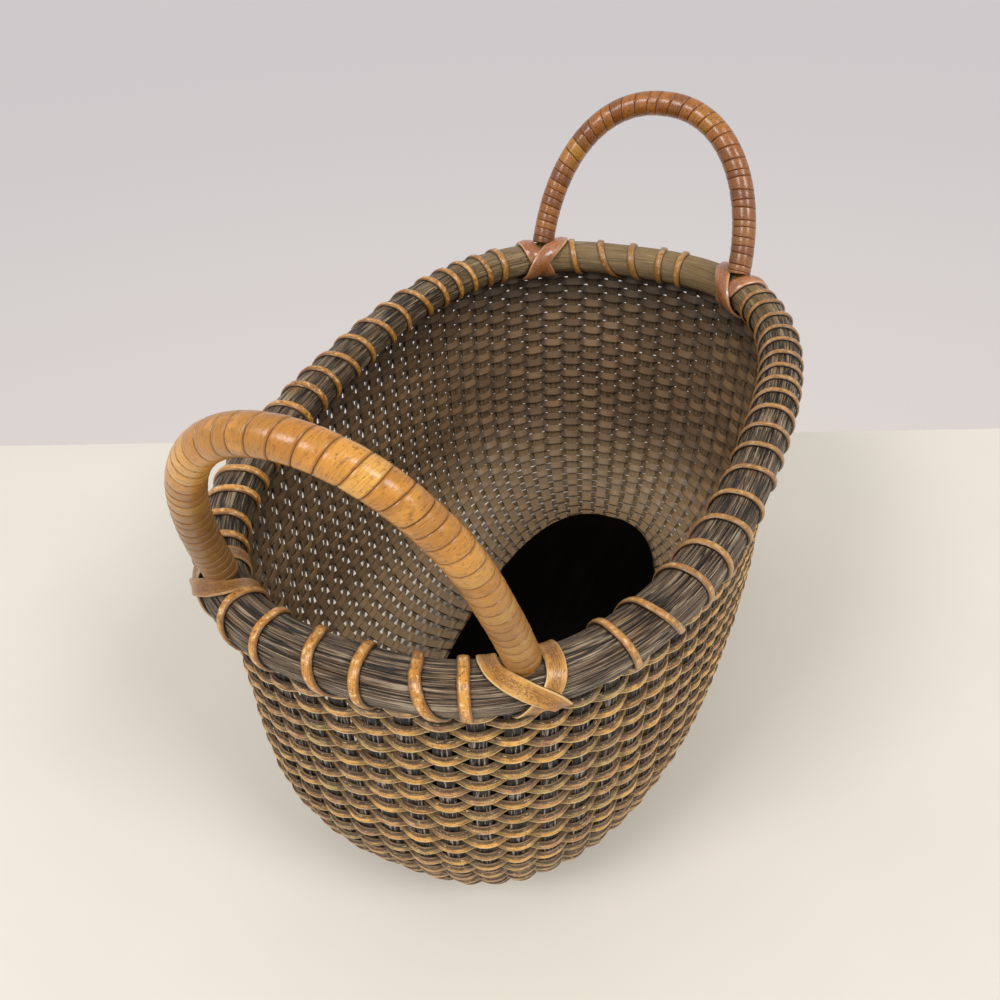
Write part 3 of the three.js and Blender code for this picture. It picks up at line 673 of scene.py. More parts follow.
def cane_finish(name, low, high, speckle, edge, seam, rough, coat, mottled=0.0, bands=None, muted=None,
                worn=None, legs=None):
    """Varnished split cane: a body between a low and a high colour, specks and lines, and the bark side's
    edges in
    their own colour: pale cut edges, or, where the edge colour is darker than the body, painted shade along
    the edges. seam is painted shade on the strip's sides and underside, which shows as a dark seam between
    turns and a dark outline beside the strip. mottled is how much darker specks fill the middle of the strip.
    bands are two colours that come and go from turn to turn. muted is a duller colour towards the right
    side and the far end. worn is the colour of small rubbed spots. legs is a duller colour on the lower part
    of a handle, then 1 if that is mostly its left leg and -1 for its right, and then its share on both."""
    f = Finish(name)
    across = f.axis(f.uv, "Y")
    forward, leftward, height = (f.axis(f.place, letter) for letter in "XYZ")
    fibre = f.grain(1.2, 34.0, 3.0, 0.6)
    speck = f.grain(3.5, 12.0, 4.0, 0.75)
    cloud = f.noise(f.place, 130.0, 3.0, 0.6)
    base = f.mix(f.attribute("tone"), low, high)
    if bands is not None:
        patch = f.attribute("patch")
        base = f.over(
            base,
            (patch.between(0.55, 0.8) * 0.8, bands[0]),
            (patch.between(0.35, 0.12) * 0.8, bands[1]))
    base = f.over(
        base,
        (fibre.between(0.42, 0.7) * 0.5, speckle),
        (cloud.between(0.5, 0.64) * 0.55, high),
        (speck.between(0.53, 0.64) * 0.75, speckle))
    if mottled > 0:
        middle = across.between(0.11, 0.17) * across.between(0.39, 0.33)
        grain = f.grain(5.0, 40.0, 3.0, 0.7)
        base = f.over(base, (middle * grain.between(0.4, 0.6) * mottled, speckle))
    if worn is not None:
        spots = f.noise(f.place, 640.0, 2.0, 0.6)
        base = f.over(
            base,
            (spots.between(0.56, 0.64) * 0.6, worn),
            (spots.between(0.42, 0.35) * 0.6, speckle))
    if legs is not None:
        leg_colour, side, share_on_both = legs
        lower = height.between(*HANDLE_LEGS)
        one_side = (leftward * side).between(0.0, 0.035)
        base = f.over(base, (lower * (one_side * 0.35 + share_on_both), leg_colour))
    edge_width = 0.075 if worn is None else 0.13
    edge_share = 0.55 if worn is None else 0.8
    # pale edge colours are cut edges; darker ones are painted shade along the strip's edges
    edges = across.between(edge_width, 0.03) + across.between(0.5 - edge_width, 0.47)
    base = f.over(base, (edges * edge_share, edge))
    if muted is not None:
        base = f.over(
            base,
            (leftward.between(-0.045, -0.085) * 0.4, muted),
            (forward.between(0.06, 0.13) * 0.4, muted))
    # painted shade: the seam colour over the strip's sides and underside
    base = f.over(base, (across.between(0.51, 0.56), seam))
    return f.surface(base_color=base, roughness=rough, coat_weight=coat, coat_roughness=0.25,
                     normal=f.bump(fibre + speck * 0.6, 0.14 * MM, 0.7))


def lacquer_finish():
    """Black lacquer over turned wood, with faint grain and dust."""
    f = Finish("black_lacquer")
    grain = f.noise(f.scaled(f.place, 30.0, 260.0, 30.0), 1.0, 3.0, 0.6)
    dust = f.noise(f.place, 160.0, 4.0, 0.7)
    base = f.mix(grain.between(0.45, 0.85) * 0.5, "020202", "100c0a")
    return f.surface(base_color=base, roughness=0.22 + dust * 0.16, specular_ior_level=0.06,
                     normal=f.bump(grain, 0.04 * MM, 0.4))


# Pieces

def finish_piece(piece, material, slot, *nodes):
    """The piece takes its material, stands for its solids and rides on the basket's one body. slot is not
    used.
    """
    piece.data.materials.append(material)
    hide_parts(*nodes)
    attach(piece, "root")
    return piece


def turned_towards(vectors, way):
    """Each vector, turned over where it points away from the given way."""
    return vectors * np.sign(np.einsum("ij,ij->i", vectors, way))[:, None]


def weaver_strip(first_row, last_row):
    """One length of the strip that is wound up the wall in a spiral, a row a round, and pared to a point over
    its first and last rounds. Beside each stake it swings across the wall's middle surface as a cosine of
    half a wave a stake, so with an odd count of stakes each row lies against the last."""
    count = int((last_row - first_row) * STAKE_COUNT * WEAVER_RINGS_PER_STAKE) + 1
    turn = np.linspace(max(first_row, WEAVER_FIRST_TURN), min(last_row, WEAVER_LAST_TURN), count)
    u = turn * STAKE_COUNT
    pitch = WALL_LENGTH / WEAVER_ROWS
    upper = np.clip(turn, 0, WEAVER_ROWS)
    lower = np.clip(turn - 1, 0, WEAVER_ROWS)
    s = pitch * (upper + lower) / 2 + ROW_WAVER * bumps(11, u * 0.9)
    point, _, outward, upward = wall_frame(u, s)
    far = far_share(point)
    wave = np.cos(np.pi * u)
    shaped = np.sign(wave) * np.abs(wave) ** WEAVER_CREST_POWER
    swing = WEAVER_SWING * (1 + SWING_WAVER * bumps(12, u)) * shaped * (1 - SWING_LESS_AT_FAR_END * far)
    centre = point + outward * swing[:, None]
    path = unit(np.gradient(centre, axis=0))
    up = turned_towards(unit(np.cross(upward, path)), outward)
    lean = blend(WEAVER_LEAN, WEAVER_FAR_LEAN, far)[:, None]
    facing = unit(up + upward * lean)
    across = turned_towards(unit(np.cross(path, facing)), upward)
    width = blend(WEAVER_HEIGHT, WEAVER_FAR_HEIGHT, far) * (1 + WIDTH_WAVER * bumps(14, u * 0.5))
    width = width * (upper - lower) * blend(WEAVER_FOOT_SHARE, 1, np.clip(s / WEAVER_FOOT_REACH, 0, 1))
    rings, crosswise = strip_rings(centre, across, facing, width, WEAVER_THICKNESS)
    name = f"weavers_rows_{first_row + 1}_to_{last_row}"
    return swept_piece(name, rings, False, u, crosswise, 40, tone=per_whole(15, u),
                       patch=bumps(16, u / 7, 0, 1), crest=np.abs(wave))


def stakes_piece():
    """73 flat splints, each from its foot in the plate's groove up the wall's middle surface to its end in
    the rim. The two rings below place 0 are the foot, at its full and at half its depth in the groove."""
    top = WALL_LENGTH + STAKE_TOP - WALL_TOP
    s = np.concatenate([[-1.0, -0.5], np.linspace(0, top, STAKE_RINGS - 2)])
    on_wall = np.maximum(s, 0)
    share = np.clip(s / WALL_LENGTH, 0, 1)
    width = blend(plan_pitch(plate_at) - STAKE_GAP_AT_PLATE, RIM_PITCH - STAKE_GAP_AT_RIM, share)
    foot = np.clip(-s, 0, 1)[:, None] * (GROOVE_DEPTH - CLEARANCE)
    skins = []
    for k in range(STAKE_COUNT):
        point, along, outward, upward = wall_frame(np.full(STAKE_RINGS, float(k)), on_wall)
        splint = width + STAKE_FAR_WIDENING * (far_share(point) * np.sin(np.pi * share))
        centre = point - upward * foot
        rings, crosswise = strip_rings(centre, along, outward, splint, STAKE_THICKNESS, 0.0, 0.1)
        skins.append(rings)
    tones = np.random.default_rng(21).uniform(0, 1, STAKE_COUNT)
    tone = [np.full(STAKE_RINGS, value) for value in tones]
    return swept_piece("stakes", skins, False, on_wall / PATTERN_LENGTH, crosswise, 40, tone=tone)


def filler_piece(name, first, last):
    """The strip on the stakes' ends under the hoops' closing lips, from one handle foot to the next."""
    count = int((last - first) * RINGS_PER_STAKE)
    u = np.linspace(first + FILLER_GAP_AT_FEET, last - FILLER_GAP_AT_FEET, count)
    point, outward = rim_frame(u)
    up = np.broadcast_to(UPRIGHT, point.shape)
    centre = point + up * (STAKE_TOP + FILLER_SHOWN_HEIGHT / 2 + FILLER_LIFT - RIM_MIDDLE_HEIGHT)
    rings, crosswise = strip_rings(centre, outward, up, STAKE_THICKNESS, FILLER_SHOWN_HEIGHT, 0.0, 0.2)
    return swept_piece(name, rings, False, u, crosswise)


def rim_rise(out):
    """The height of the rim's top over its middle at a distance outward from it: flat over the stakes, and a
    quarter ellipse from there."""
    share = np.clip((np.abs(out) - SKIN_INSIDE) / HOOP_THICKNESS, 0, 1)
    return HOOP_HEIGHT / 2 * np.sqrt(1 - share ** 2)


def hoop_piece(name, side, seed):
    """A half-round hoop: its section goes up its half ellipse, over the stakes' ends to the seam between the
    hoops, which lies a little outside the middle, and down its flat side. Small ridges run along it: three
    sets of random heights, with a height for each line of the section, come and go along the hoop."""
    count = STAKE_COUNT * RINGS_PER_STAKE
    u = np.arange(count) * STAKE_COUNT / count
    seam = side * RIM_SEAM_OUTWARD + RIM_SEAM_GAP / 2
    last_turn = np.arccos(max(seam - SKIN_INSIDE, 0) / HOOP_THICKNESS)
    turn = np.linspace(-np.pi / 2, last_turn, HOOP_ROUND_LINES)
    round_out = SKIN_INSIDE + HOOP_THICKNESS * np.cos(turn)
    round_up = HOOP_HEIGHT / 2 * np.sin(turn)
    over_out = np.linspace(round_out[-1], seam, 6)[1:] if side < 0 else np.zeros(0)
    lip_out = np.array([seam, seam, SKIN_INSIDE])
    lip_up = np.append(rim_rise(seam) - np.array(HOOP_LIP_DEPTHS), HOOP_HEIGHT / 2 - HOOP_BACK_DEPTHS[0])
    back_up = np.linspace(HOOP_HEIGHT / 2 - HOOP_BACK_DEPTHS[1], -HOOP_HEIGHT / 2 + HOOP_BACK_FOOT, 4)
    out = np.concatenate([round_out, over_out, lip_out, np.full(4, SKIN_INSIDE)])
    up = np.concatenate([round_up, rim_rise(over_out), lip_up, back_up])
    shown = len(round_out) + len(over_out)
    ridge = np.random.default_rng(seed).uniform(-1, 1, (3, shown))
    slow = [bumps(seed + i, u / 3.0) for i in (1, 2, 3)]
    relief = sum(slow[i][:, None] * ridge[i][None, :] for i in range(3)) * HOOP_RIDGE_HEIGHT
    swell = HOOP_SWELL * bumps(seed + 5, u / 2.3)[:, None]
    radial = np.zeros((count, len(out)))
    radial[:, :shown] = relief * np.sin(np.linspace(0, np.pi, shown)) ** 0.3 + swell
    lean_out = np.concatenate([np.cos(turn), np.zeros(len(out) - len(turn))])
    lean_up = np.concatenate([np.sin(turn), np.ones(len(over_out)), np.zeros(len(out) - shown)])
    point, outward = rim_frame(u)
    offset = out[None, :] + radial * lean_out[None, :]
    skin = point[:, None, :] + outward[:, None, :] * (side * offset)[..., None]
    skin[..., 2] += up[None, :] + radial * lean_up[None, :]
    return swept_piece(name, skin, True, u, None, 60)


def rim_skin(u, turn, lift):
    """A point at a lift over the rim's round section, and its outward direction: turn 0 is on top, and plus
    goes outside. The section is the hoops' half ellipses, moved apart by the stakes between them."""
    point, outward = rim_frame(u)
    reach = HOOP_THICKNESS + lift
    rise = HOOP_HEIGHT / 2 + lift
    flat = SKIN_INSIDE * np.sin(turn) / np.sqrt(np.sin(turn) ** 2 + RIM_TOP_EASE)
    place = point + outward * (flat + reach * np.sin(turn))[:, None]
    place[:, 2] += rise * np.cos(turn)
    up = outward * (rise * np.sin(turn))[:, None]
    up[:, 2] += reach * np.cos(turn)
    return place, unit(up)


def lashing_piece(name, tops, middle_width, seed):
    """A narrow strip wound round both hoops: each turn goes over the rim at its top place, and crosses under
    it through the gap between two stakes that lies nearest to half way to the next turn."""
    gaps = np.floor((tops[1:] + tops[:-1]) / 2) + 0.5
    gaps = np.concatenate([[tops[0] - LASH_END_TURN], gaps, [tops[-1] + LASH_END_TURN]])
    share = np.arange(len(tops) * LASH_RINGS_PER_TURN) / LASH_RINGS_PER_TURN
    turn_index = np.minimum(share.astype(int), len(tops) - 1)
    turn = (share - turn_index) * TAU - np.pi
    goal = np.where(turn < 0, gaps[turn_index], gaps[turn_index + 1])
    u = blend(tops[turn_index], goal, (np.abs(turn) / np.pi) ** LASH_EASE)
    kept = slice(LASH_RINGS_LEFT_OFF, -LASH_RINGS_LEFT_OFF)
    u, turn, share = u[kept], turn[kept], share[kept]
    centre, up = rim_skin(u, turn, LASH_GAP + LASH_THICKNESS / 2)
    path = unit(np.gradient(centre, axis=0))
    across = unit(np.cross(up, path))
    width = middle_width * (1 + LASH_WIDTH_WAVER * bumps(seed, share * 1.3))
    rings, crosswise = strip_rings(centre, across, up, width, LASH_THICKNESS, 0.16, 0.24)
    tone = bumps(seed + 1, share * 0.9, 0, 1)
    return swept_piece(name, rings, False, share * LASH_PATTERN_PER_TURN, crosswise, 50, tone=tone)


# Handles

class HandleLine:
    """The arch of one handle: a superellipse from foot to foot, in a plane that leans out from the rim's top.
    sway is for a pole that is bent unevenly: rows of a share of its length and a shift there in millimetres
    towards its left foot."""

    def __init__(self, feet, height, roundness, lean_degrees, side, radius, sway):
        plan = rim_at(np.array(feet, dtype=float))
        self.feet = np.concatenate([plan, np.full((2, 1), RIM_TOP)], axis=1)
        self.radius = radius
        middle = self.feet.mean(axis=0)
        half = self.feet[0] - middle
        lean = math.radians(lean_degrees)
        rise = np.array([side * math.sin(lean), 0, math.cos(lean)])
        turn = np.linspace(0, np.pi, ARCH_POINTS)
        across = np.sign(np.cos(turn)) * np.abs(np.cos(turn)) ** (2 / roundness)
        up = height * np.abs(np.sin(turn)) ** (2 / roundness)
        even = middle + across[:, None] * half + up[:, None] * rise
        lengths = lengths_along(even)
        share, shift = smooth_path(np.array(sway) * [1, MM], SWAY_POINTS_PER_ROW).T
        self.points = even + np.interp(lengths / lengths[-1], share, shift)[:, None] * unit(half)
        self.lengths = lengths_along(self.points)
        self.total = float(self.lengths[-1])
        self.flat = unit(np.cross(half, rise))

    def place(self, distance):
        """The arch's middle points at distances along it."""
        columns = [np.interp(distance, self.lengths, self.points[:, axis]) for axis in range(3)]
        return np.stack(columns, axis=-1)

    def at(self, distance):
        """Middle points and sideways directions at distances along the arch."""
        ahead = self.place(np.clip(distance + ARCH_STEP, 0, self.total))
        behind = self.place(np.clip(distance - ARCH_STEP, 0, self.total))
        return self.place(distance), np.cross(self.flat, unit(ahead - behind))


def tongue_points(line, end):
    """Points up the middle of a pole's tongue, which bends over from the rim's middle to the arch's end."""
    foot, top = line.feet[end], line.points[-end]
    bend = 0.1 + 0.9 * np.clip(1 - TONGUE_DEPTHS / TONGUE_BEND_DEPTH, 0, 1)
    return foot + (top - foot) * bend[:, None] - TONGUE_DEPTHS[:, None] * UPRIGHT


def pole_piece(name, line):
    """The pole inside a handle: round from foot to foot, and pared at each foot to a flat tongue that goes
    down between two stakes and the two hoops."""
    centre, sideways = line.at(np.linspace(POLE_END_GAP, line.total - POLE_END_GAP, POLE_RINGS))
    count = len(TONGUE_DEPTHS)
    centre = np.concatenate([tongue_points(line, 0), centre, tongue_points(line, 1)[::-1]])
    sideways = np.concatenate([np.tile(sideways[0], (count, 1)), sideways, np.tile(sideways[-1], (count, 1))])
    on_pole = np.pad(np.ones(POLE_RINGS), count)
    wide = np.where(on_pole, line.radius, TONGUE_HALF_WIDTH)
    thick = np.where(on_pole, line.radius, TONGUE_HALF_THICKNESS)
    angle = np.arange(POLE_SIDES) * TAU / POLE_SIDES
    rings = (centre[:, None, :] + (wide[:, None] * np.cos(angle))[..., None] * sideways[:, None, :]
             + (thick[:, None] * np.sin(angle))[..., None] * line.flat)
    return swept_piece(name, rings, False, np.arange(len(rings)) * POLE_PATTERN_PER_RING)


def wrap_piece(name, line, turns, seed, crown_share, unevenness):
    """One strip wound on the pole, edge to edge: its pitch is wider over the crown than on the legs, and its
    section is flat with rounded edges, so that a fine seam shows between turns, darkened by painted shade on
    the strip's sides and edges. The same noise shifts both its edges, so they meet from turn to turn, and at
    both ends the strip is pared to a point."""
    fine = np.linspace(WRAP_END_GAP, line.total - WRAP_END_GAP, WRAP_PLACES)
    tightness = 1 / (1 + crown_share * np.sin(np.pi * fine / line.total) ** 2)
    loops = np.concatenate([[0], np.cumsum((tightness[1:] + tightness[:-1]) / 2)])
    loops = loops / loops[-1] * turns
    loop = np.linspace(-WRAP_OVERRUN, turns + WRAP_OVERRUN, int(turns * WRAP_RINGS_PER_TURN))
    edges = np.stack([loop - 0.5, loop + 0.5])
    before, after = np.interp(edges + WRAP_PITCH_WAVER * bumps(seed, edges * 0.8), loops, fine)
    shares = np.array([0.0, 0.04, 0.12, 0.5, 0.88, 0.96, 1.0, 1.0, 0.5, 0.0])
    lift = np.array([0.68, 0.92, 0.99, 1.0, 0.99, 0.92, 0.68, 0.0, 0.0, 0.0])
    crosswise = np.array([0.0, 0.03, 0.08, 0.25, 0.42, 0.47, 0.5, 0.6, 0.78, 0.94, 1.0])
    tilt = unevenness * bumps(seed + 3, loop)
    angle = -TAU * loop
    thickness = CLEARANCE + WRAP_THICKNESS - WRAP_UNDERSIDE
    rings = []
    for share, high in zip(shares, lift):
        distance = blend(before + WRAP_SEAM / 2, after - WRAP_SEAM / 2, share)
        centre, sideways = line.at(distance)
        above = WRAP_UNDERSIDE + high * thickness + tilt * (share - 0.5) * 2
        radius = line.radius + above
        rings.append(centre + sideways * (radius * np.cos(angle))[:, None]
                     + line.flat * (radius * np.sin(angle))[:, None])
    tone = bumps(seed + 1, loop, 0, 1)
    patch = bumps(seed + 2, loop / 2.2, 0, 1)
    skin = np.stack(rings, axis=1)
    return swept_piece(name, skin, False, loop * WRAP_PATTERN_PER_TURN, crosswise, 50, tone=tone, patch=patch)


# Routes of a strap's two passes: stakes beside the foot, and the turn round the rim from its top
UNDER_PASS = [(0.95, -3.0), (0.92, -2.3), (0.84, -1.5), (0.8, -0.8), (0.78, 0.0),
              (0.66, 0.7), (0.45, 1.2), (0.12, 1.75), (-0.12, 2.3), (-0.3, 3.1)]
OVER_PASS = [(-0.45, -3.1), (-0.8, -2.3), (-0.88, -1.5), (-0.9, -0.8), (-0.85, -0.1),
             (-0.5, 0.5), (-0.08, 0.95), (0.5, 1.55), (0.76, 2.2), (0.95, 3.0)]
OVER_PASS_LIFT = [0, 0, 0, 0, 0, 0.25, 0.75, 1, 0.5, 0]


def strap_piece(name, foot, order, face, width, thickness, dome, seed):
    """A foot binding: the strap comes up on one side of the rim, goes over it beside the foot, down across
    the hoop to the other side of the foot and under the rim, and then the same again the other way over its
    first pass. order says beside which side of the foot it starts, and face is 1 where it crosses itself
    outside, and -1 inside."""
    lift = STRAP_GAP + thickness / 2
    over = lift + thickness
    stops = [(foot + order * aside, face * turn, lift) for aside, turn in UNDER_PASS]
    stops += [(foot + order * aside, face * (turn + TAU), blend(lift, over, share))
              for (aside, turn), share in zip(OVER_PASS, OVER_PASS_LIFT)]
    path = smooth_path(np.array(stops), 8)
    centre, up = rim_skin(path[:, 0], path[:, 1], path[:, 2])
    ahead = unit(np.gradient(centre, axis=0))
    across = unit(np.cross(up, ahead))
    rings, crosswise = strip_rings(centre, across, up, width, thickness, dome, 0.16)
    length = lengths_along(centre)
    tone = bumps(seed, length / STRAP_TONE_LENGTH, 0, 1)
    return swept_piece(name, rings, False, length / PATTERN_LENGTH, crosswise, 40, tone=tone)


def plate_piece():
    """The base plate: its profile is carried round the plate's oval, from the middle of the underside over
    the grooved edge and its rounded upper corner to the middle of the top. Doubled points are merged."""
    count = 2 * STAKE_COUNT
    u = np.arange(count) * STAKE_COUNT / count
    along = unit(plate_at(u + PLAN_STEP) - plate_at(u - PLAN_STEP))
    outward = np.stack([along[:, 1], -along[:, 0]], axis=-1)
    low, high = GROOVE_HEIGHT - SKIN_INSIDE, GROOVE_HEIGHT + SKIN_INSIDE
    bend = np.linspace(0, np.pi / 2, 6)
    round_inward = PLATE_ROUNDING * (1 - np.cos(bend))
    round_height = PLATE_THICKNESS - PLATE_ROUNDING * (1 - np.sin(bend))
    under_inward = [PLATE_RING_INWARD, 0, 0, GROOVE_DEPTH, GROOVE_DEPTH, 0]
    inward = np.concatenate([under_inward, round_inward, [PLATE_RING_INWARD]])
    height = np.concatenate([[0, 0, low, low, high, high], round_height, [PLATE_THICKNESS]])
    plan = plate_at(u)[:, None, :] - outward[:, None, :] * inward[None, :, None]
    heights = np.broadcast_to(height[None, :, None], plan.shape[:2] + (1,))
    centre_low = np.broadcast_to(np.array([*PLATE_CENTRE, 0.0]), (count, 1, 3))
    centre_high = np.broadcast_to(np.array([*PLATE_CENTRE, PLATE_THICKNESS]), (count, 1, 3))
    skin = np.concatenate([centre_low, np.concatenate([plan, heights], axis=-1), centre_high], axis=1)
    piece = swept_piece("lacquered_plate", skin, True, u, None, 30)
    work = bmesh.new()
    work.from_mesh(piece.data)
    bmesh.ops.remove_doubles(work, verts=work.verts, dist=0.001 * MM)
    bmesh.ops.recalc_face_normals(work, faces=work.faces)
    work.to_mesh(piece.data)
    work.free()
    return piece


# Assembly: the weave and the stakes

weave = weaver_finish()
for first_row, last_row in ((0, 14), (14, 28), (28, 42)):
    finish_piece(weaver_strip(first_row, last_row), weave, "woven_cane", "weavers_outside", "weavers_inside")
stake_nodes = [f"stakes_{place}" for place in ("far", "left", "near", "right")]
finish_piece(stakes_piece(), stake_finish(), "dark_splint", *stake_nodes)

# Assembly: the rim and its lashing, with the places of the lashing's turns in stakes

outer_rattan = rattan_finish("rim_rattan", "1a110a", "7c6147", "dcc7aa", "a37d47")
finish_piece(hoop_piece("outer_hoop", side=1, seed=31), outer_rattan, "rim_rattan", "rim_hoop_outer")
inner_rattan = rattan_finish("rim_rattan_inner", "20160f", "7a6248", "c9b290", "a67e3e")
finish_piece(hoop_piece("inner_hoop", side=-1, seed=41), inner_rattan, "rim_rattan", "rim_hoop_inner")

# painted shade: the lashing's dark edge and seam colours
lash_cane = cane_finish("lashing_cane", "ab6c26", "dd9c42", "47280e", "6e4822", "21150b",
                        rough=0.28, coat=0.4, muted="8f6c42", worn="f2d29a")
LASH_TOPS = {
    "far": [-2.4, -1.35, 0.15, 1.7, 3.1],
    "left": [6.9, 8.0, 9.0, 10.0, 11.1, 12.6, 14.0, 15.6, 17.1, 18.6, 19.8, 21.0, 22.4, 23.8, 25.2, 26.4,
             27.5, 28.7, 29.8],
    "near": [32.7, 34.1, 35.7, 37.1, 38.6, 39.8],
    "right": [43.85, 45.15, 47.0, 48.3, 49.65, 51.0, 52.45, 53.8, 55.05, 56.3, 57.4, 58.35, 59.3, 60.3,
              61.35, 62.4, 63.5, 64.65, 65.6],
}
for i, (name, tops) in enumerate(LASH_TOPS.items()):
    lash_width = RIGHT_LASH_WIDTH if name == "right" else LASH_WIDTH
    lash = lashing_piece(f"lashing_{name}", np.array(tops), lash_width, 50 + 5 * i)
    finish_piece(lash, lash_cane, "lashing_cane", f"rim_lashing_{name}")

# Assembly: the handles

NEAR_SWAY = [(0, 0), (0.2, 0), (0.4, 0), (0.5, 0.7), (0.6, 1.3), (0.7, 2.1), (0.8, 2.9), (0.87, 3.6),
             (0.94, 3.1), (1, 2.2)]
NO_SWAY = [(0, 0), (0.5, 0), (1, 0)]
near_line = HandleLine(NEAR_FEET, height=73 * MM, roundness=2.05, lean_degrees=15, side=-1,
                       radius=3.85 * MM, sway=NEAR_SWAY)
far_line = HandleLine(FAR_FEET, height=69.5 * MM, roundness=2.18, lean_degrees=26, side=1,
                      radius=4.0 * MM, sway=NO_SWAY)
# painted shade: the wraps' darker edge colours and their seam colours
near_cane = cane_finish("near_wrap_cane", "b07124", "da973a", "85541e", "8a5a28", "3a210c",
                        rough=0.26, coat=0.3, bands=("e4ad52", "b0782f"), legs=("855f32", 1, 0.6))
far_cane = cane_finish("far_wrap_cane", "80481f", "b4702c", "43240f", "74421e", "4a2a14",
                       rough=0.22, coat=0.35, bands=("bd8428", "5c341b"), legs=("744838", -1, 0.15))
near_wrap = wrap_piece("near_handle_wrap", near_line, turns=45, seed=71, crown_share=0.7, unevenness=0.1 * MM)
finish_piece(near_wrap, near_cane, "wrap_cane_near", "handle_wrap_near")
far_wrap = wrap_piece("far_handle_wrap", far_line, turns=40, seed=81, crown_share=0.6, unevenness=0.07 * MM)
finish_piece(far_wrap, far_cane, "wrap_cane_far", "handle_wrap_far")

# Assembly: the foot bindings, each with its foot's place, order, face, width, thickness, dome and cane

# the seam colours of these canes are painted shade on the straps' sides
strap_cane = cane_finish("strap_cane", "b47c34", "d39c4a", "6c4016", "ecca8c", "3a2612",
                         rough=0.34, coat=0.25, mottled=0.8)
dull_strap_cane = cane_finish("dull_strap_cane", "8a5f34", "b07f48", "55351a", "b58c58", "33210f",
                              rough=0.36, coat=0.2, mottled=0.6)
far_strap_cane = cane_finish("far_strap_cane", "9c6038", "c08056", "6b3d20", "d8a67e", "2e190c",
                             rough=0.16, coat=0.7, mottled=0.3)
STRAPS = (
    ("near_left", NEAR_FEET[0], -1, 1, STRAP_WIDTH, STRAP_THICKNESS, -0.16, dull_strap_cane),
    ("near_right", NEAR_FEET[1] - RIGHT_STRAP_SHIFT, 1, 1, STRAP_WIDTH, STRAP_THICKNESS, -0.16, strap_cane),
    ("far_left", FAR_FEET[0], 1, -1, FAR_STRAP_WIDTH, FAR_STRAP_THICKNESS, 0.3, far_strap_cane),
    ("far_right", FAR_FEET[1], -1, -1, FAR_STRAP_WIDTH, FAR_STRAP_THICKNESS, 0.3, far_strap_cane),
)
for i, (name, foot, order, face, width, thickness, dome, cane) in enumerate(STRAPS):
    strap = strap_piece(f"strap_{name}", foot, order, face, width, thickness, dome, 91 + i)
    finish_piece(strap, cane, "lashing_cane", f"foot_binding_{name}")

# Assembly: the plate, the poles and the filler strips

finish_piece(plate_piece(), lacquer_finish(), "lacquered_plate", "base_plate")
pole_rattan = rattan_finish("pole_rattan", "3a2a1a", "7d5f3d", "a8855a", "94723c")
for name, line in (("near", near_line), ("far", far_line)):
    finish_piece(pole_piece(f"{name}_handle_pole", line), pole_rattan, "pole_rattan", f"handle_pole_{name}")
STRETCHES = {
    "far": (FAR_FEET[1], FAR_FEET[0]),
    "left": (FAR_FEET[0], NEAR_FEET[0]),
    "near": NEAR_FEET,
    "right": (NEAR_FEET[1], FAR_FEET[1] + STAKE_COUNT),
}
for name, (first, last) in STRETCHES.items():
    filler = filler_piece(f"filler_{name}", first, last)
    finish_piece(filler, outer_rattan, "rim_rattan", f"rim_filler_{name}")

# Camera, in metres and radians
CAMERA_AZIMUTH = -1.146
CAMERA_ELEVATION = 0.668
CAMERA_ROLL = -0.044
CAMERA_FOCAL_SHARE = 0.887
CAMERA_SENSOR = 36
CAMERA_FROM_RIM = (-0.2682, -0.106, 0.3275)
CAMERA_PLACE = (RIM_CENTRE[0] + CAMERA_FROM_RIM[0], RIM_CENTRE[1] + CAMERA_FROM_RIM[1], CAMERA_FROM_RIM[2])

# Table, in metres from below the camera, and the turn of its far edge in degrees
TABLE_EDGE = 0.4815
TABLE_EDGE_TURN = 2.7
TABLE_HALF_WIDTH = 3
TABLE_DEPTH = 4
FLOOR_GAP = 0.1 * MM

# Light, and the wall seen behind the basket, whose colour changes between two slopes of the view
DOME_STRENGTH = 0.66
DOME_COLOUR = (1.0, 0.985, 0.96, 1.0)
WALL_LOW_SLOPE = -0.58
WALL_HIGH_SLOPE = -0.2
LAMP_TARGET = (0, 0, 0.08)
LAMP_SIZE = 0.7
LAMP_POWER = 19
LAMP_PLACES = {"key_left": (-1.4, 0.62, 1.7), "key_right": (-0.5, -1.44, 1.7)}


def camera():
    """The camera stands where the photograph was taken from, with its lean."""
    data = bpy.data.cameras.new("camera")
    data.sensor_width = CAMERA_SENSOR
    data.lens = CAMERA_SENSOR * CAMERA_FOCAL_SHARE
    data.clip_start = 0.01
    eye = bpy.data.objects.new("camera", data)
    az, el, roll = CAMERA_AZIMUTH, CAMERA_ELEVATION, CAMERA_ROLL
    back = Vector((math.sin(az) * math.cos(el), -math.cos(az) * math.cos(el), math.sin(el)))
    level_right = Vector((math.cos(az), math.sin(az), 0))
    level_up = back.cross(level_right)
    right = level_right * math.cos(roll) + level_up * math.sin(roll)
    up = level_up * math.cos(roll) - level_right * math.sin(roll)
    turn = Matrix((right, up, back)).transposed().to_4x4()
    eye.matrix_world = Matrix.Translation(CAMERA_PLACE) @ turn
    bpy.context.scene.collection.objects.link(eye)
    bpy.context.scene.camera = eye


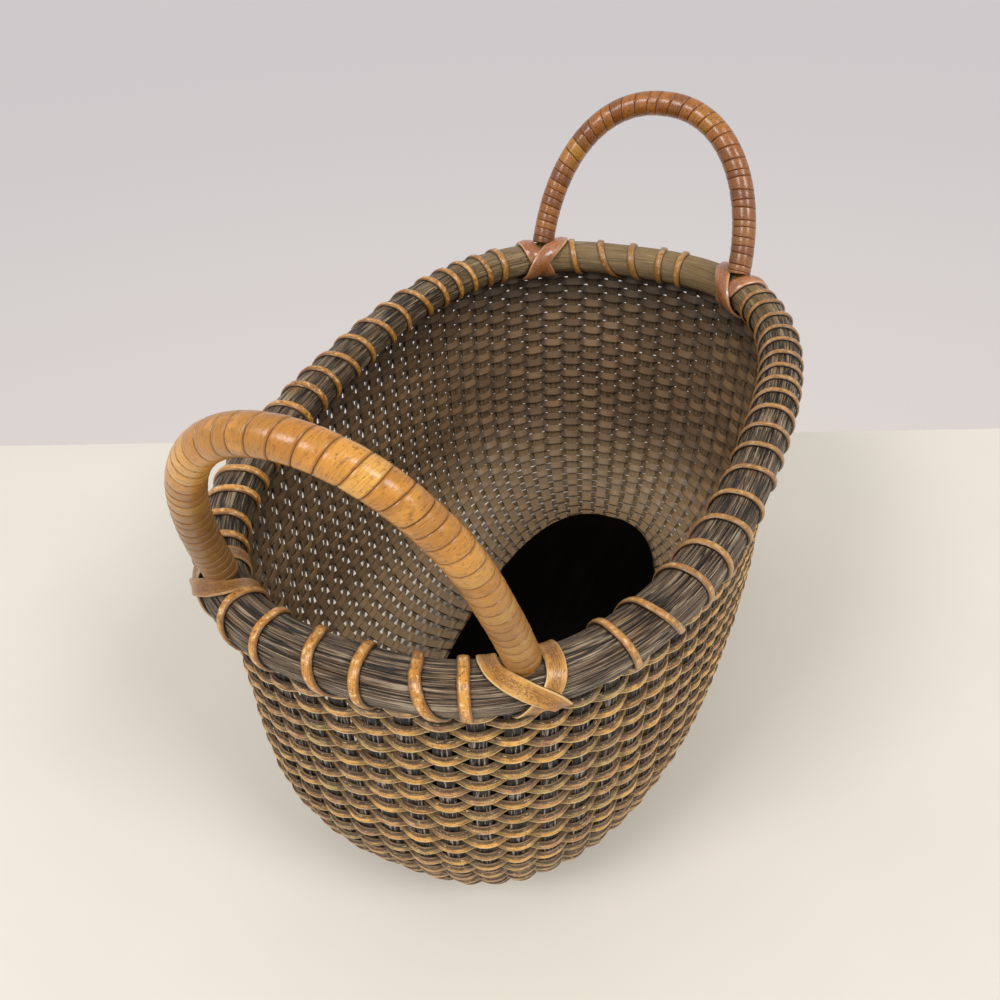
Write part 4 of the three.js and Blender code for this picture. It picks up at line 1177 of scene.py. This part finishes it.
def table():
    """A pale table whose far edge crosses the view behind the basket. It lies a little under the plate."""
    away = np.array([-math.sin(CAMERA_AZIMUTH), math.cos(CAMERA_AZIMUTH)])
    side = np.array([away[1], -away[0]]) * TABLE_HALF_WIDTH
    edge = np.array(CAMERA_PLACE[:2]) + away * TABLE_EDGE
    slant = away * TABLE_HALF_WIDTH * math.tan(math.radians(TABLE_EDGE_TURN))
    front = edge - away * TABLE_DEPTH
    corners = [edge + side - slant, edge - side + slant, front - side, front + side]
    mesh = bpy.data.meshes.new("floor")
    mesh.from_pydata([(x, y, -FLOOR_GAP) for x, y in corners], [], [(0, 1, 2, 3)])
    floor = bpy.data.objects.new("floor", mesh)
    bpy.context.scene.collection.objects.link(floor)
    f = Finish("pale_table")
    cloud = f.noise(f.place, 9.0, 3.0, 0.5)
    floor.data.materials.append(f.surface(base_color=f.mix(cloud, "dcd6ca", "e6e0d6"), roughness=0.7))


def background():
    """The camera and gloss see a pale grey wall, warmer low down, and a soft white dome lights the rest."""
    world = bpy.data.worlds.new("studio")
    bpy.context.scene.world = world
    world.use_nodes = True
    world.node_tree.nodes.clear()
    w = Nodes(world.node_tree)
    upward = w.axis(w.node("ShaderNodeTexCoord", output="Generated"), "Z")
    shade = upward.ramp(WALL_LOW_SLOPE, WALL_HIGH_SLOPE)
    seen = w.node("ShaderNodeBackground", None, {"Color": w.mix(shade, "e0d7d2", "cecacb")})
    light = w.node("ShaderNodeBackground", None, {"Color": DOME_COLOUR, "Strength": DOME_STRENGTH})
    rays = ("Camera", "Glossy", "Transmission")
    seen_by, glossy, clear = (w.node("ShaderNodeLightPath", output=f"Is {ray} Ray") for ray in rays)
    sees = seen_by.math("MAXIMUM", glossy).math("MAXIMUM", clear)
    choice = w.node("ShaderNodeMixShader", None, [sees, light, seen])
    w.node("ShaderNodeOutputWorld", None, {"Surface": choice})


def lamp(name, place):
    """A square soft light that shines from its place at the basket."""
    data = bpy.data.lights.new(name, "AREA")
    data.shape = "SQUARE"
    data.size = LAMP_SIZE
    data.energy = LAMP_POWER
    light = bpy.data.objects.new(name, data)
    light.location = place
    light.rotation_euler = (Vector(LAMP_TARGET) - Vector(place)).to_track_quat("-Z", "Y").to_euler()
    bpy.context.scene.collection.objects.link(light)


camera()
table()
background()
for name, place in LAMP_PLACES.items():
    lamp(name, place)
bpy.context.scene.view_settings.view_transform = "Standard"
